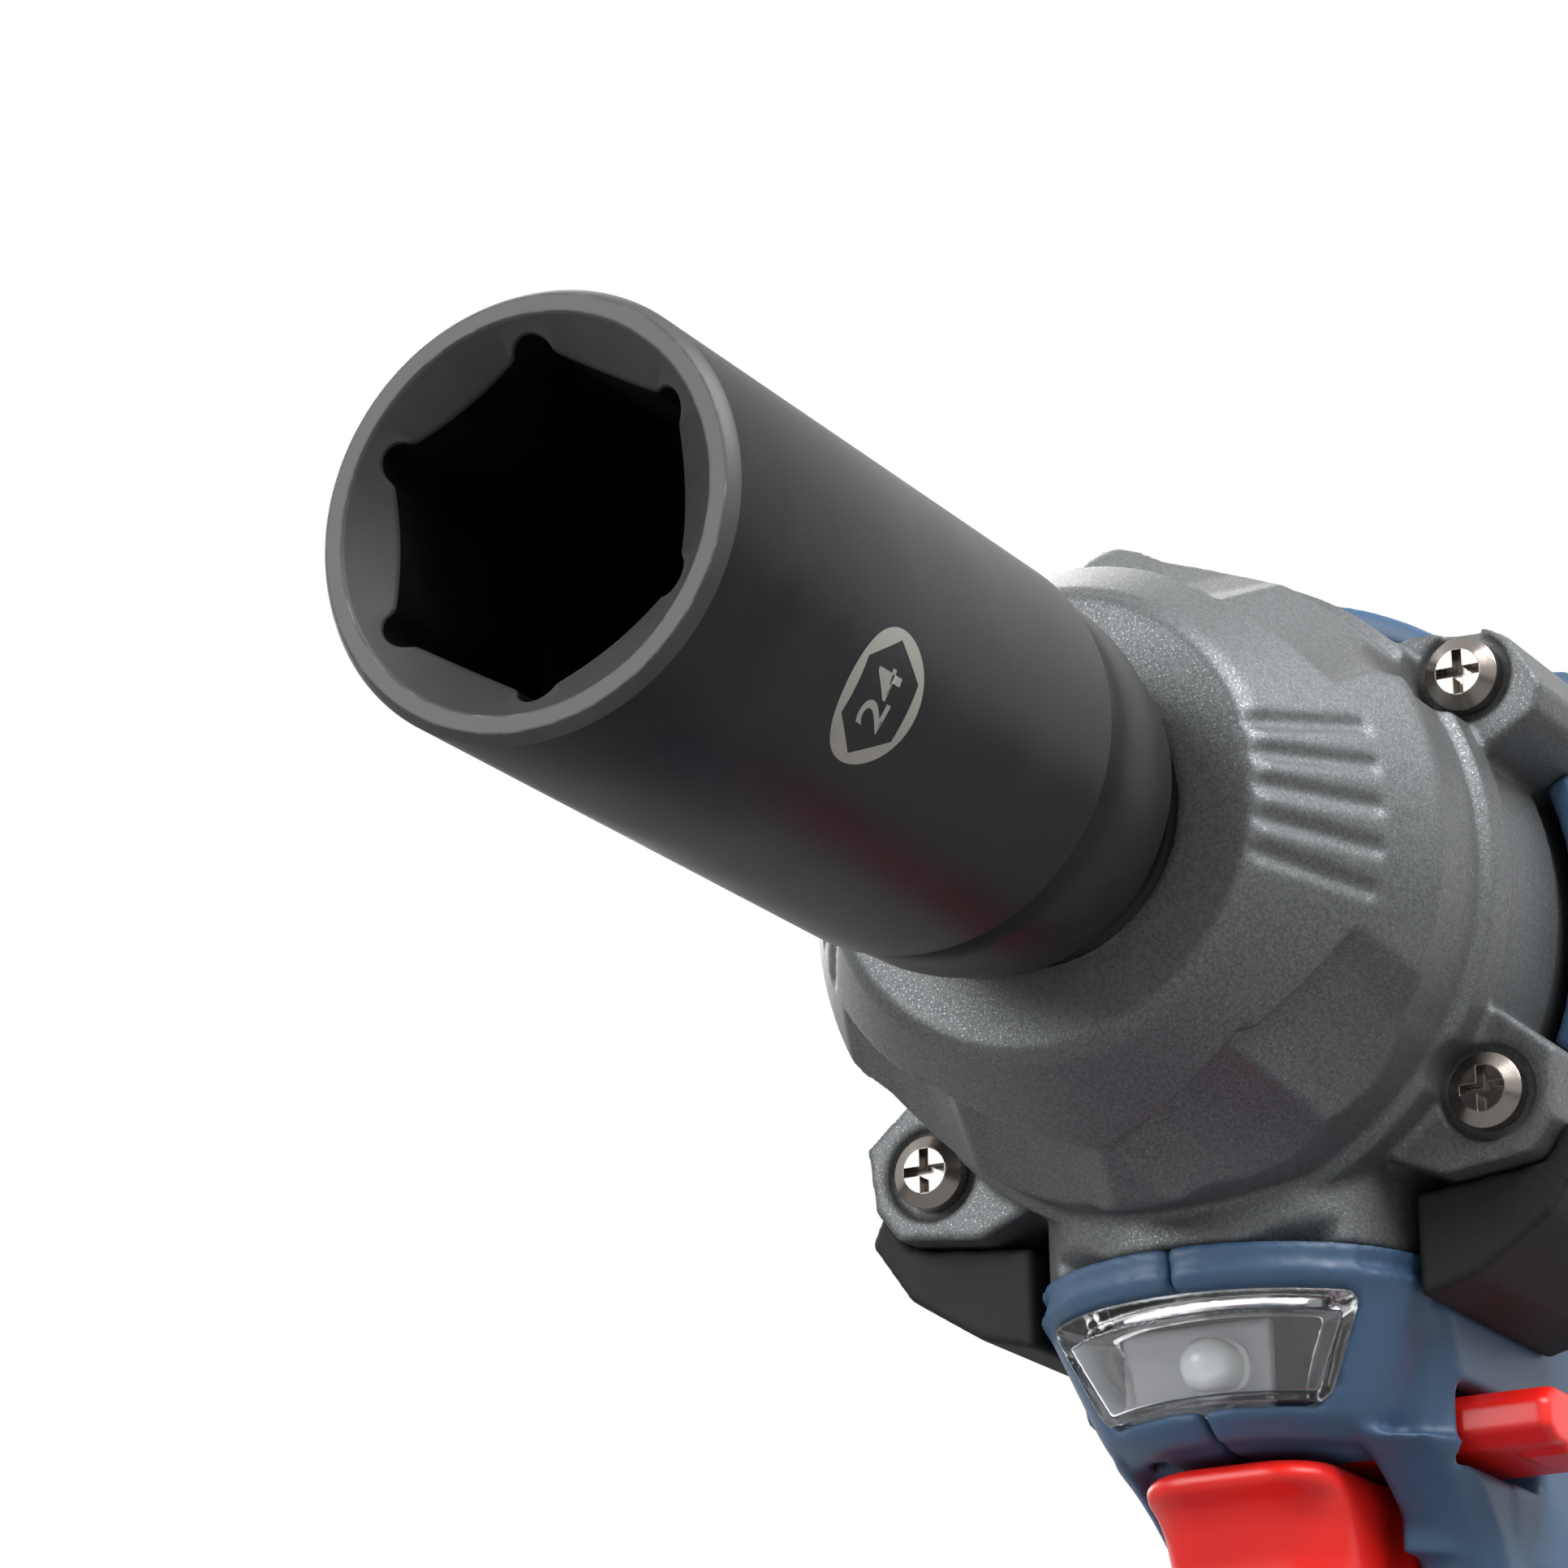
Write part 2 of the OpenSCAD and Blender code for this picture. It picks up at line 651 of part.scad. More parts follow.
module rotor_core() {
    color("#565a5e") on_axis(rotor_x0) difference() {
        tube(rotor_x1 - rotor_x0, rotor_r, motor_shaft_r + 0.01);
        for (i = [0:3]) rotate(90 * i) translate([0, 0, -1]) scale([1, 1, 1.2]) magnet_slot(0.1);
    }
}

module rotor_magnets() {
    color("#b9bcc0") on_axis(rotor_x0) for (i = [0:3]) rotate(90 * i) magnet_slot(0);
}

module cooling_fan() {
    blades = 9;
    color("#232426") on_axis(fan_x1 - fan_w) difference() {
        union() {
            translate([0, 0, fan_w - 1.4]) cylinder(h = 1.4, r = fan_r);
            cylinder(h = fan_w, r = 8);
            for (i = [0:blades - 1]) rotate(360 * i / blades) translate([7, -0.7, 0]) rotate(14)
                cube([fan_r - 8, 1.4, fan_w - 1]);
        }
        translate([0, 0, -1]) cylinder(h = fan_w + 2, r = motor_shaft_r + 0.01);
    }
}

module stator_core() {
    color("#7d7367") on_axis(stator_x0) linear_extrude(stator_len) difference() {
        circle(r = stator_r);
        circle(r = rotor_r + bore_gap);
        difference() {
            circle(r = stator_r - yoke_t);
            circle(r = rotor_r + bore_gap + shoe_t);
            for (i = [0:5]) rotate(60 * i) translate([0, -tooth_w / 2]) square([stator_r, tooth_w]);
        }
        for (i = [0:5]) rotate(60 * i + 30) translate([0, -0.8]) square([stator_r - yoke_t, 1.6]);
    }
}

module stator_coils() {
    coil_r0 = rotor_r + bore_gap + shoe_t + 0.3;
    coil_r1 = stator_r - yoke_t - 0.9;
    side_w = 3;
    color("#b5652f") on_axis(stator_x0 - coil_over) for (i = [0:5]) rotate(60 * i) difference() {
        translate([coil_r0, -tooth_w / 2 - side_w, 0])
            cube([coil_r1 - coil_r0, tooth_w + 2 * side_w, stator_len + 2 * coil_over]);
        translate([0, -tooth_w / 2 - 0.1, coil_over - 0.1])
            cube([stator_r, tooth_w + 0.2, stator_len + 0.2]);
    }
}

module sensor_board() {
    color("#2f6b45") on_axis(board_x) difference() {
        tube(1.5, stator_r - 0.4, bearing_r + 3.2);
        for (i = [0:2]) rotate(120 * i) translate([stator_r - 4, 0, -1]) cylinder(h = 4, r = 1.2);
    }
}

// ---- Housing ----

// The handle's solid between two heights, grown outward by grow.
module grip_solid(grow, z0, z1) {
    translate([grip_x, 0, grip_pivot_z]) rotate([0, grip_lean, 0])
        translate([0, 0, z0 - grip_pivot_z]) linear_extrude(z1 - z0)
        round_plan(-grip_depth / 2 - grow, grip_depth / 2 + grow, grip_half_w + grow, grip_corner + grow);
}

// The foot that the battery slides into, shrunk inward by shrink.
module foot_solid(shrink) {
    round_block(foot_x0 + shrink, foot_x1 - shrink, foot_half_w - shrink, 10, foot_base_z + shrink,
        foot_deck_z - shrink);
    hull() {
        round_block(foot_x0 + shrink + 2, foot_x1 - shrink - 2, foot_half_w - shrink - 2, 9,
            foot_deck_z - shrink - 1, foot_deck_z - shrink, $fn = 32);
        round_block(grip_x - 10 - grip_depth / 2 + shrink, grip_x - 10 + grip_depth / 2 - shrink,
            grip_half_w - shrink, 11, foot_deck_z + 11 - shrink, foot_deck_z + 12 - shrink, $fn = 32);
    }
}

// The soft rubber sleeve round the back and sides of the handle.
module rubber_band() {
    difference() {
        grip_solid(0, rubber_low_z, rubber_top_z);
        grip_solid(-rubber_t, rubber_low_z - 5, rubber_top_z + 5);
        translate([grip_x + grip_depth / 2 - 9, -far, 0]) cube([far, 2 * far, far]);
    }
    // Bumper pads under the lower screw lugs and behind the upper ones.
    for (s = [-1, 1]) difference() {
        union() {
            pad(edge_x - 20, edge_x + 11, s, [[neck_nose_r, -27.6], [22.4, -27.3], [30.8, -26.3],
                [33.4, -22.4], [34.8, -25.4], [31, -31], [24, -35.5], [neck_nose_r, -37]]);
            pad(edge_x - 20, edge_x - 6.3, s, [[24, 9], [34, 12], [35.4, 16], [31.6, 22.4], [24, 24]]);
        }
        on_axis(edge_x - 40) cylinder(h = 90, r = barrel_r + eps);
        at_lugs(edge_x - 40) cylinder(h = 60, r = boss_r);
        lug(edge_x - 6.3, lug_x + 0.1, s, false);
    }
}

// A pad extended along X from an outline in Y and Z about the drive axis.
module pad(x0, x1, side, outline) {
    translate([x0, 0, axis_z]) scale([1, side, 1]) rotate([90, 0, 90]) linear_extrude(x1 - x0)
        polygon(outline);
}

module housing_outer() {
    on_axis(rear_x) cylinder(h = barrel_len, r = barrel_r);
    at_lugs(edge_x - 20) cylinder(h = 13.7, r = boss_r);
    translate([0, 0, neck_bottom_z]) linear_extrude(neck_top_z - neck_bottom_z) neck_plan(0);
    round_block(neck_rear_x, collar_x1, neck_nose_r, 12, collar_z, neck_bottom_z + 1);
    grip_solid(0, foot_base_z + 4, grip_top_z);
    foot_solid(0);
}

module housing_inner() {
    on_axis(rear_x - 1) cylinder(h = barrel_len + 2, r = barrel_in_r);
    translate([0, 0, neck_bottom_z + shell_wall])
        linear_extrude(neck_top_z - neck_bottom_z - shell_wall) neck_plan(shell_wall);
    grip_solid(-shell_wall - rubber_t * 0.4, foot_base_z + 6, grip_top_z + 2);
    foot_solid(shell_wall);
}

// Everything cut away for the parts that the housing holds or lets through.
module housing_cuts() {
    // Front: the hammer case, its lugs and its skirt.
    on_axis(case_rear_x - 14) cylinder(h = 90, r = 29.6);
    for (s = [-1, 1]) {
        lug(edge_x - 6.3, lug_x + 20, s, true);
        lug(edge_x - 6.3, lug_x + 20, s, false);
    }
    translate([edge_x, -far, chin_top_z]) cube([far, 2 * far, far]);
    // Screw holes for the hammer case.
    at_lugs(edge_x - 12) cylinder(h = 30, r = screw_r + 0.02);
    // Trigger slot in the front of the handle and the neck's floor.
    translate([trigger_back_x - trigger_travel - 1, 0, trigger_top_z - trigger_h - slot_gap])
        translate([0, -trigger_half_w - slot_gap, 0])
            cube([40, 2 * (trigger_half_w + slot_gap), trigger_h + 2 * slot_gap]);
    // Selector slot through both sides.
    translate([selector_x0 - slot_gap, -40, selector_z - slot_gap])
        cube([selector_len + 2 * slot_gap, 80, selector_h + 2 * slot_gap]);
    // Lamp window.
    translate([lamp_x + 0.3, 0, lens_z]) rotate([90, 0, 90]) linear_extrude(20) lens_shape();
    // Battery rails.
    translate([rail_x0 - 12, -rail_neck_y - rail_gap, foot_base_z - 1])
        cube([foot_x1 - rail_x0 + 20, 2 * (rail_neck_y + rail_gap), rail_h + 1 + rail_gap]);
    translate([rail_x0 - rail_gap, -rail_lip_y - rail_gap, foot_base_z + rail_h - rail_lip_h - rail_gap])
        cube([foot_x1 - rail_x0 + 20, 2 * (rail_lip_y + rail_gap), rail_lip_h + 2 * rail_gap]);
    // Lanyard hole across the rear of the foot.
    translate([lanyard_x, -far / 2, lanyard_z]) rotate([-90, 0, 0]) cylinder(h = far, r = lanyard_r);
    // Seats of the hook's threaded inserts.
    for (s = [-1, 1]) translate([hook_x, s * (foot_half_w + 1), hook_z]) rotate([s * 90, 0, 0])
        cylinder(h = insert_len + 1, r = insert_r);
    // Cooling slots in the barrel's sides.
    for (s = [-1, 1]) for (i = [0:3]) translate([rear_x + 6 + 7 * i, 0, axis_z]) rotate([s * 72, 0, 0])
        translate([0, -6, barrel_r - 8]) cube([3, 12, 16]);
}

module screw_bosses(r) {
    for (p = house_screws) translate([p[0], -far / 2, p[1]]) rotate([-90, 0, 0]) cylinder(h = far, r = r);
}

// Bosses inside the shell for the screws, the inserts and the rear cover.
module housing_bosses() {
    intersection() {
        housing_outer();
        union() {
            difference() {
                screw_bosses(house_boss_r);
                on_axis(rear_x - 1) cylinder(h = barrel_len, r = stator_r + 0.2);
            }
            for (s = [-1, 1]) translate([hook_x, s * foot_half_w, hook_z]) rotate([s * 90, 0, 0])
                cylinder(h = insert_len + 1, r = insert_r + 2);
            translate([lanyard_x, -far / 2, lanyard_z]) rotate([-90, 0, 0])
                cylinder(h = far, r = lanyard_r + 2);
            on_axis(rear_x) cover_posts(3.4, 11);
        }
    }
}

module cover_posts(r, h) {
    for (i = [0:3]) rotate(45 + 90 * i) translate([cover_screw_r, 0, 0]) cylinder(h = h, r = r);
}

module housing_half(side) {
    difference() {
        half(side) difference() {
            union() {
                difference() {
                    housing_outer();
                    housing_inner();
                }
                housing_bosses();
            }
            housing_cuts();
            rubber_band();
            screw_bosses(house_screw_r + 0.02);
            on_axis(rear_x - 1) cover_posts(house_screw_r + 0.02, 12);
        }
        if (side < 0) head_pockets();
    }
}

// Recesses for the heads of the housing screws, which go in from the right.
module head_pockets() {
    for (p = house_screws) translate([p[0], -p[2], p[1]]) rotate([90, 0, 0])
        cylinder(h = far, r = house_head_r + 0.3);
}

module housing_left() { color("#48668a") housing_half(1); }
module housing_right() { color("#48668a") housing_half(-1); }
module grip_left() { color("#1c1d1f") half(1) rubber_band(); }
module grip_right() {
    color("#1c1d1f") difference() {
        half(-1) rubber_band();
        head_pockets();
    }
}

module housing_screws() {
    color("#2a2b2d") for (p = house_screws) translate([p[0], -p[2] - 0.05, p[1]]) rotate([90, 0, 0])
        pan_screw(p[2] + 8, house_screw_r, house_head_r);
}

module rear_cover() {
    color("#242528") difference() {
        turned([
            [0, cover_x0], [barrel_r - 8, cover_x0], [barrel_r - 3.5, cover_x0 + 2.5],
            [barrel_r - 0.8, cover_x0 + 7], [barrel_r, cover_x0 + 12], [barrel_r, rear_x - 0.1],
            [0, rear_x - 0.1]
        ]);
        difference() {
            on_axis(cover_x0 + 3) cylinder(h = 40, r = barrel_r - 7.8);
            on_axis(cover_x0) cylinder(h = rear_bearing_x1 - cover_x0, r = bearing_r + 2.4);
        }
        on_axis(rear_bearing_x0) cylinder(h = 40, r = bearing_r + 0.02);
        on_axis(cover_x0 - 1) cover_posts(1.7, 30);
        on_axis(cover_x0 - 1) cover_posts(3.2, 4.5);
        // Air slots across the back.
        for (s = [-1, 1]) for (i = [0:3]) translate([cover_x0 - 1, s * 16 - 6, axis_z - 10.5 + 6 * i])
            cube([6, 12, 3]);
    }
}

module rear_cover_screws() {
    color("#2a2b2d") on_axis(cover_x0 + 3.5) for (i = [0:3]) rotate(45 + 90 * i)
        translate([cover_screw_r, 0, 0]) rotate([180, 0, 0]) pan_screw(cover_screw_len, 1.5, 2.9);
}

// ---- Lamp, trigger, switch and selector ----

module lens_shape() {
    polygon([[-lens_low_y, 0], [lens_low_y, 0], [lens_top_y, lens_h], [-lens_top_y, lens_h]]);
}

module lamp_lens() {
    color("#dfe7ec") intersection() {
        translate([lamp_x + 0.6, 0, lens_z]) rotate([90, 0, 90]) linear_extrude(20)
            offset(r = lens_round, $fn = 24) offset(delta = -lens_round - 0.15) lens_shape();
        difference() {
            translate([neck_nose_x, 0, axis_z - 60]) cylinder(h = 60, r = neck_nose_r + 0.1);
            translate([neck_nose_x, 0, axis_z - 61]) cylinder(h = 62, r = neck_nose_r - lens_t);
        }
    }
}

module lamp_board() {
    half_w = sqrt(pow(neck_nose_r - shell_wall, 2) - pow(lamp_x - neck_nose_x, 2)) - 0.3;
    color("#e9ebea") translate([lamp_x - 1.4, -half_w, lens_z + 0.4]) cube([1.4, 2 * half_w, 8]);
}

module lamp_led() {
    color("#f4e9b0") translate([lamp_x, 0, lens_z + lens_h / 2]) rotate([0, 90, 0]) {
        cylinder(h = 2.2, r = 2.6);
        translate([0, 0, 2.2]) sphere(r = 2.1);
    }
}

module trigger() {
    h = trigger_h;
    f = trigger_front_x;
    z0 = trigger_top_z - h;
    color("#d8261c") {
        difference() {
            intersection() {
                translate([0, trigger_half_w, z0]) rotate([90, 0, 0])
                    linear_extrude(2 * trigger_half_w) polygon([
                        [trigger_back_x, h], [f - 1.5, h], [f, h - 2], [f - 0.6, h - 9],
                        [f - 2.2, h - 17], [f - 1.6, h - 25], [f + 1.2, h - 31], [f + 0.6, 1],
                        [f - 1, 0], [trigger_back_x, 0]
                    ]);
                translate([0, 0, z0 - 1]) linear_extrude(h + 2)
                    round_plan(trigger_back_x - 20, f + 2.5, trigger_half_w, 8);
            }
            // Hollow that the switch's nose goes into.
            translate([trigger_back_x - 1, -trigger_half_w + trigger_wall, z0 + 3])
                cube([trigger_hollow_x - trigger_back_x + 1, 2 * (trigger_half_w - trigger_wall), h - 6]);
        }
        // Plunger that works the switch.
        translate([switch_nose_x - 3, -3, trigger_top_z - plunger_drop - 4])
            cube([trigger_hollow_x - switch_nose_x + 3 + eps, 6, 8]);
    }
}

module switch_body() {
    nose_half_w = trigger_half_w - trigger_wall - 0.6;
    color("#1f2022") difference() {
        union() {
            translate([switch_x0, -switch_half_w, trigger_top_z - 31])
                cube([switch_x1 - switch_x0, 2 * switch_half_w, 30]);
            translate([switch_x1 - eps, -nose_half_w, trigger_top_z - trigger_h + 4])
                cube([switch_nose_x - switch_x1 + eps, 2 * nose_half_w, trigger_h - 8]);
            translate([switch_x0 + 6, -7, trigger_top_z - 37]) cube([12, 14, 6.5]);
        }
        translate([switch_nose_x - trigger_travel - 4, -3.4, trigger_top_z - plunger_drop - 4.4])
            cube([trigger_travel + 5, 6.8, 8.8]);
        translate([switch_nose_x - 8, 0, trigger_top_z - spring_drop]) rotate([0, 90, 0])
            cylinder(h = 10, r = 3.8);
    }
}

module trigger_spring() {
    color("#8f9296") translate([switch_nose_x - 7.9, 0, trigger_top_z - spring_drop]) rotate([0, 90, 0])
        coil_spring(trigger_hollow_x - switch_nose_x + 7.8, 2.8, 0.5, 6);
}

module selector() {
    color("#c9241b") translate([0, selector_shift, 0]) difference() {
        translate([selector_x0, -selector_half_y, selector_z])
            cube([selector_len, 2 * selector_half_y, selector_h]);
        // Chamfered ends.
        for (s = [-1, 1]) for (x = [selector_x0, selector_x0 + selector_len])
            translate([x, s * selector_half_y, selector_z - 1]) rotate(45)
            translate([-selector_notch, -selector_notch, 0])
            cube([2 * selector_notch, 2 * selector_notch, selector_h + 2]);
        // Notch that straddles the switch's lever.
        translate([selector_x0 - 1, -5, selector_z - 1]) cube([8, 10, selector_h + 2]);
    }
}

// ---- Electronics ----

module control_board() {
    color("#3c4043") difference() {
        translate([0, 0, foot_base_z + rail_h + 2.2])
            round_block(rail_x0 + 12, foot_x1 - 24, 20, 4, 0, 3);
        translate([grip_x - 8, -6, 0]) cube([12, 12, far]);
    }
}

module terminal_block() {
    color("#18191b") difference() {
        translate([rail_x0 + 22, -20, foot_base_z + 5.2]) cube([18, 40, rail_h - 3.3]);
        for (y = contact_ys) translate([rail_x0 + 21, y - blade_t / 2 - 0.05, foot_base_z])
            cube([17, blade_t + 0.1, 8.3]);
    }
}

module terminal_blades() {
    color("#c9b27a") for (y = contact_ys) translate([rail_x0 + 24, y - blade_t / 2, foot_base_z + 1])
        cube([14, blade_t, 7.2]);
}

// Three wires that run inside the handle from the control board to the switch.
module motor_wires() {
    wire_r = 1.2;
    z0 = foot_base_z + rail_h + 5.4 - grip_pivot_z;
    z1 = trigger_top_z - 38 - grip_pivot_z;
    color("#b02a24") translate([grip_x, 0, grip_pivot_z]) rotate([0, grip_lean, 0])
        for (i = [-1:1]) translate([-4, 4 * i, z0]) cylinder(h = z1 - z0, r = wire_r);
}

module hook_inserts() {
    color("#b08d4a") for (s = [-1, 1]) translate([hook_x, s * foot_half_w, hook_z]) rotate([s * 90, 0, 0])
        tube(insert_len, insert_r - 0.02, insert_hole_r);
}

module belt_hook() {
    y0 = foot_half_w + 0.1;
    y1 = y0 + hook_t + hook_gap;
    z0 = hook_z - 7;
    color("#8e9194") difference() {
        translate([hook_x - hook_w / 2, 0, 0]) rotate([90, 0, 90]) linear_extrude(hook_w) polygon([
            [-y0, hook_z + 6], [-y0, z0], [-y1 - 0.4, z0], [-y1 - hook_t, z0 + 1.6],
            [-y1 - hook_t, z0 + hook_rise - 5], [-y1 - hook_t - 3, z0 + hook_rise],
            [-y1 - hook_t - 1.4, z0 + hook_rise + 1], [-y1, z0 + hook_rise - 5],
            [-y1, z0 + hook_t + 0.6], [-y1 + 0.8, z0 + hook_t],
            [-y0 - hook_t, z0 + hook_t], [-y0 - hook_t, hook_z + 6]
        ]);
        translate([hook_x, 0, hook_z]) rotate([90, 0, 0]) cylinder(h = y0 + 10, r = screw_r + 0.1);
    }
}

module hook_screw() {
    color("#3a3c3e") translate([hook_x, -foot_half_w - 0.1 - hook_t - 0.05, hook_z]) rotate([90, 0, 0])
        pan_screw(7.5, insert_hole_r - 0.02, 3.6);
}

// ---- Battery ----

module pack_solid(shrink, z0, z1) {
    round_block(-pack_len / 2 + shrink, pack_len / 2 - shrink, pack_half_w - shrink, 11 - shrink, z0, z1);
}

module at_pack_screws(z) {
    for (x = [-1, 1]) for (y = [-1, 1]) translate([x * pack_screw_x, y * pack_screw_y, z]) children();
}

module battery_lower_case() {
    color("#1e1f21") difference() {
        union() {
            difference() {
                hull() {
                    pack_solid(2, 0, 1, $fn = 32);
                    pack_solid(0, 3, pack_split_z, $fn = 32);
                }
                pack_solid(pack_wall, pack_wall, pack_split_z + 1);
            }
            at_pack_screws(pack_wall - eps) cylinder(h = pack_split_z - pack_wall, r = pack_head_r + 0.4);
        }
        at_pack_screws(-1) cylinder(h = 5, r = pack_head_r + 0.1);
        at_pack_screws(-1) cylinder(h = far, r = pack_screw_r + 0.1);
    }
}

module battery_upper_case() {
    color("#1e1f21") difference() {
        union() {
            difference() {
                hull() {
                    pack_solid(0, pack_split_z + 0.02, pack_h - 4, $fn = 32);
                    pack_solid(3, pack_h - 1, pack_h, $fn = 32);
                }
                pack_solid(pack_wall, pack_split_z - 1, pack_h - pack_wall);
            }
            translate([rail_x0, -rail_neck_y, pack_h - eps])
                cube([rail_x1 - rail_x0, 2 * rail_neck_y, rail_h + eps]);
            translate([rail_x0, -rail_lip_y, pack_h + rail_h - rail_lip_h + 0.3])
                cube([rail_x1 - rail_x0, 2 * rail_lip_y, rail_lip_h - 0.3]);
            at_pack_screws(pack_split_z + 0.02) cylinder(h = 10, r = pack_head_r + 0.4);
            // Ledge under the latch's spring.
            translate([latch_spring_x - 2.4, -4, latch_z - latch_spring_len - 2.2])
                cube([pack_len / 2 - 1 - latch_spring_x + 2.4, 8, 2]);
        }
        at_pack_screws(pack_split_z - 1) cylinder(h = 9, r = pack_screw_r + 0.02);
        // Contact slots, open to the rear and down to the board.
        for (y = contact_ys) translate([rail_x0 - 1, y - 1.4, pack_h - pack_wall - 1])
            cube([42, 2.8, rail_h + 5]);
        // Pocket for the terminal block.
        translate([rail_x0 - 1, -21, pack_h + 4.6]) cube([43, 42, rail_h]);
        // Latch window in the front and its slot in the deck.
        translate([latch_x1 - latch_t - 0.4, -latch_w / 2 - 0.3, latch_z - latch_drop - 0.3])
            cube([latch_t + 5, latch_w + 0.6, latch_h + latch_drop + 0.6]);
        translate([latch_x1 - latch_t - 0.4, -8.3, pack_h - 10]) cube([4.8, 16.6, 20]);
        // Gauge button hole in the rear.
        translate([-pack_len / 2 - 1, 0, gauge_z]) rotate([0, 90, 0]) cylinder(h = 6, r = gauge_r + 0.3);
    }
}

module battery_cells() {
    color("#3f8f6a") for (i = [-2:2]) for (k = [0, 1])
        translate([cell_pitch * i, -cell_len / 2, pack_wall + 0.3 + cell_r + k * (2 * cell_r + 1.2)])
        rotate([-90, 0, 0]) cylinder(h = cell_len, r = cell_r);
}

module cell_straps() {
    strap_t = 0.3;
    color("#c8c8c4") for (s = [-1, 1]) for (i = [-2:2])
        translate([cell_pitch * i - 4, s * (cell_len / 2 + strap_t / 2 + 0.02) - strap_t / 2, 8])
        cube([8, strap_t, 27]);
}

module battery_board() {
    color("#2f6b45") difference() {
        translate([rail_x0 + 8, -27, board_z]) cube([84, 54, 1.6]);
        for (x = [rail_x0 + 12, rail_x0 + 88]) for (y = [-23, 23]) translate([x, y, board_z - 1])
            cylinder(h = 4, r = 1.6);
    }
}

module battery_contacts() {
    z0 = board_z + 1.62;
    color("#c9b27a") for (y = contact_ys) translate([rail_x0 + 28, y - 1.1, z0]) difference() {
        cube([10, 2.2, pack_h + 4 - z0]);
        translate([-1, 1.1 - blade_t / 2 - 0.1, 8]) cube([12, blade_t + 0.2, 20]);
    }
}

module battery_screws() {
    color("#2a2b2d") at_pack_screws(4 - 0.05) rotate([180, 0, 0])
        pan_screw(33, pack_screw_r, pack_head_r);
}

module battery_latch() {
    color("#b3221a") difference() {
        union() {
            translate([latch_x1 - latch_t, -latch_w / 2, latch_z]) cube([latch_t, latch_w, latch_h]);
            translate([latch_x1 - latch_t, -8, latch_z + latch_h - eps])
                cube([4, 16, pack_h - latch_z - latch_h]);
        }
        for (i = [0:2]) translate([latch_x1 - 0.8, -latch_w / 2 + 3, latch_z + 3 + 3.6 * i])
            cube([2, latch_w - 6, 1.4]);
        translate([latch_spring_x, 0, latch_z - 1]) cylinder(h = 1.4, r = 2.3);
    }
}

module latch_spring() {
    color("#8f9296") translate([latch_spring_x, 0, latch_z - latch_spring_len - 0.1])
        coil_spring(latch_spring_len + 0.3, 1.7, 0.35, 5);
}

module gauge_button() {
    color("#55585b") translate([-pack_len / 2 - 0.4, 0, gauge_z]) rotate([0, 90, 0]) {
        cylinder(h = 3.4, r = gauge_r);
        translate([0, 0, 2.9]) cylinder(h = 1.2, r = gauge_r + 1);
    }
}

impact_socket();
anvil();
friction_ring();
hammer_case();
case_screws();
nose_bushing();
nose_seal();
thrust_washer();
hammer();
hammer_spring();
spring_washer();
cam_balls();
spindle();
planet_pins();
planet_gear_1();
planet_gear_2();
planet_gear_3();
ring_gear();
bearing_plate();
spindle_bearing();
front_bearing();
rear_bearing();
rotor_shaft();
rotor_core();
rotor_magnets();
cooling_fan();
stator_core();
stator_coils();
sensor_board();
housing_left();
housing_right();
grip_left();
grip_right();
rear_cover();
rear_cover_screws();
housing_screws();
lamp_lens();
lamp_led();
lamp_board();
trigger();
trigger_spring();
switch_body();
selector();
control_board();
motor_wires();
terminal_block();
terminal_blades();
hook_inserts();
belt_hook();
hook_screw();
battery_lower_case();
battery_upper_case();
battery_cells();
cell_straps();
battery_board();
battery_contacts();
battery_screws();
battery_latch();
latch_spring();
gauge_button();
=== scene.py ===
"""Looks of a cordless impact wrench with a deep impact socket.

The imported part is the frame. This file gives each of its pieces a finish, models the pieces that show
most as finer meshes, and makes the floor, the lights and the camera. Lengths are metres in the part's
frame: +X points out of the socket, +Y to the tool's left and +Z up, from the middle of the pack's foot.
"""

import json
import logging
import math
from dataclasses import dataclass, field
from enum import Enum
from typing import Any, Callable, Dict, Iterable, List, Optional, Sequence, Tuple, Union

import bmesh
import bpy
from mathutils import Matrix, Vector


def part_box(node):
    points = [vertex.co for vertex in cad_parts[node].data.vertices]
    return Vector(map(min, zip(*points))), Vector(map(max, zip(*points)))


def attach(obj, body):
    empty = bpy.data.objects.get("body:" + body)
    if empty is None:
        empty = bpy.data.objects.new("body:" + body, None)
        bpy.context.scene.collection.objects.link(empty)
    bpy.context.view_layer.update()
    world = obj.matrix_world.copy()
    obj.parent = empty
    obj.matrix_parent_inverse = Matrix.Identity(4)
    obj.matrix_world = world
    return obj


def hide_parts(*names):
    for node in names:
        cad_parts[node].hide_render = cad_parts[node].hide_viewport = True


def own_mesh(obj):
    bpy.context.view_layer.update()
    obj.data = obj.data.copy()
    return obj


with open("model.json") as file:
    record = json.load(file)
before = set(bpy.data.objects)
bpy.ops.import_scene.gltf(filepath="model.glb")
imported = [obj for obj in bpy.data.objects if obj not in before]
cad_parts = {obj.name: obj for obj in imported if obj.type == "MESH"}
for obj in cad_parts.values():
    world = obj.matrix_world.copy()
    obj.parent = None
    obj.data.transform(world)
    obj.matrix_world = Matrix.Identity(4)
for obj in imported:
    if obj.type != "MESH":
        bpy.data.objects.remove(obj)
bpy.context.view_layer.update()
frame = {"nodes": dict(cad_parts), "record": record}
log = logging.getLogger("impact_wrench")

MM = 0.001
AXIS_Z = 195 * MM
Colour = Tuple[float, float, float]
Value = Union[int, float, Colour, "Wire"]
Length = Union[float, Callable[[float], float]]

ROUND_STEPS = 40


def tone(colour: Colour, factor: float, lift: float = 0) -> Colour:
    """A colour made lighter or darker by a factor, and then lifted."""
    return tuple(min(1, factor * channel + lift) for channel in colour)


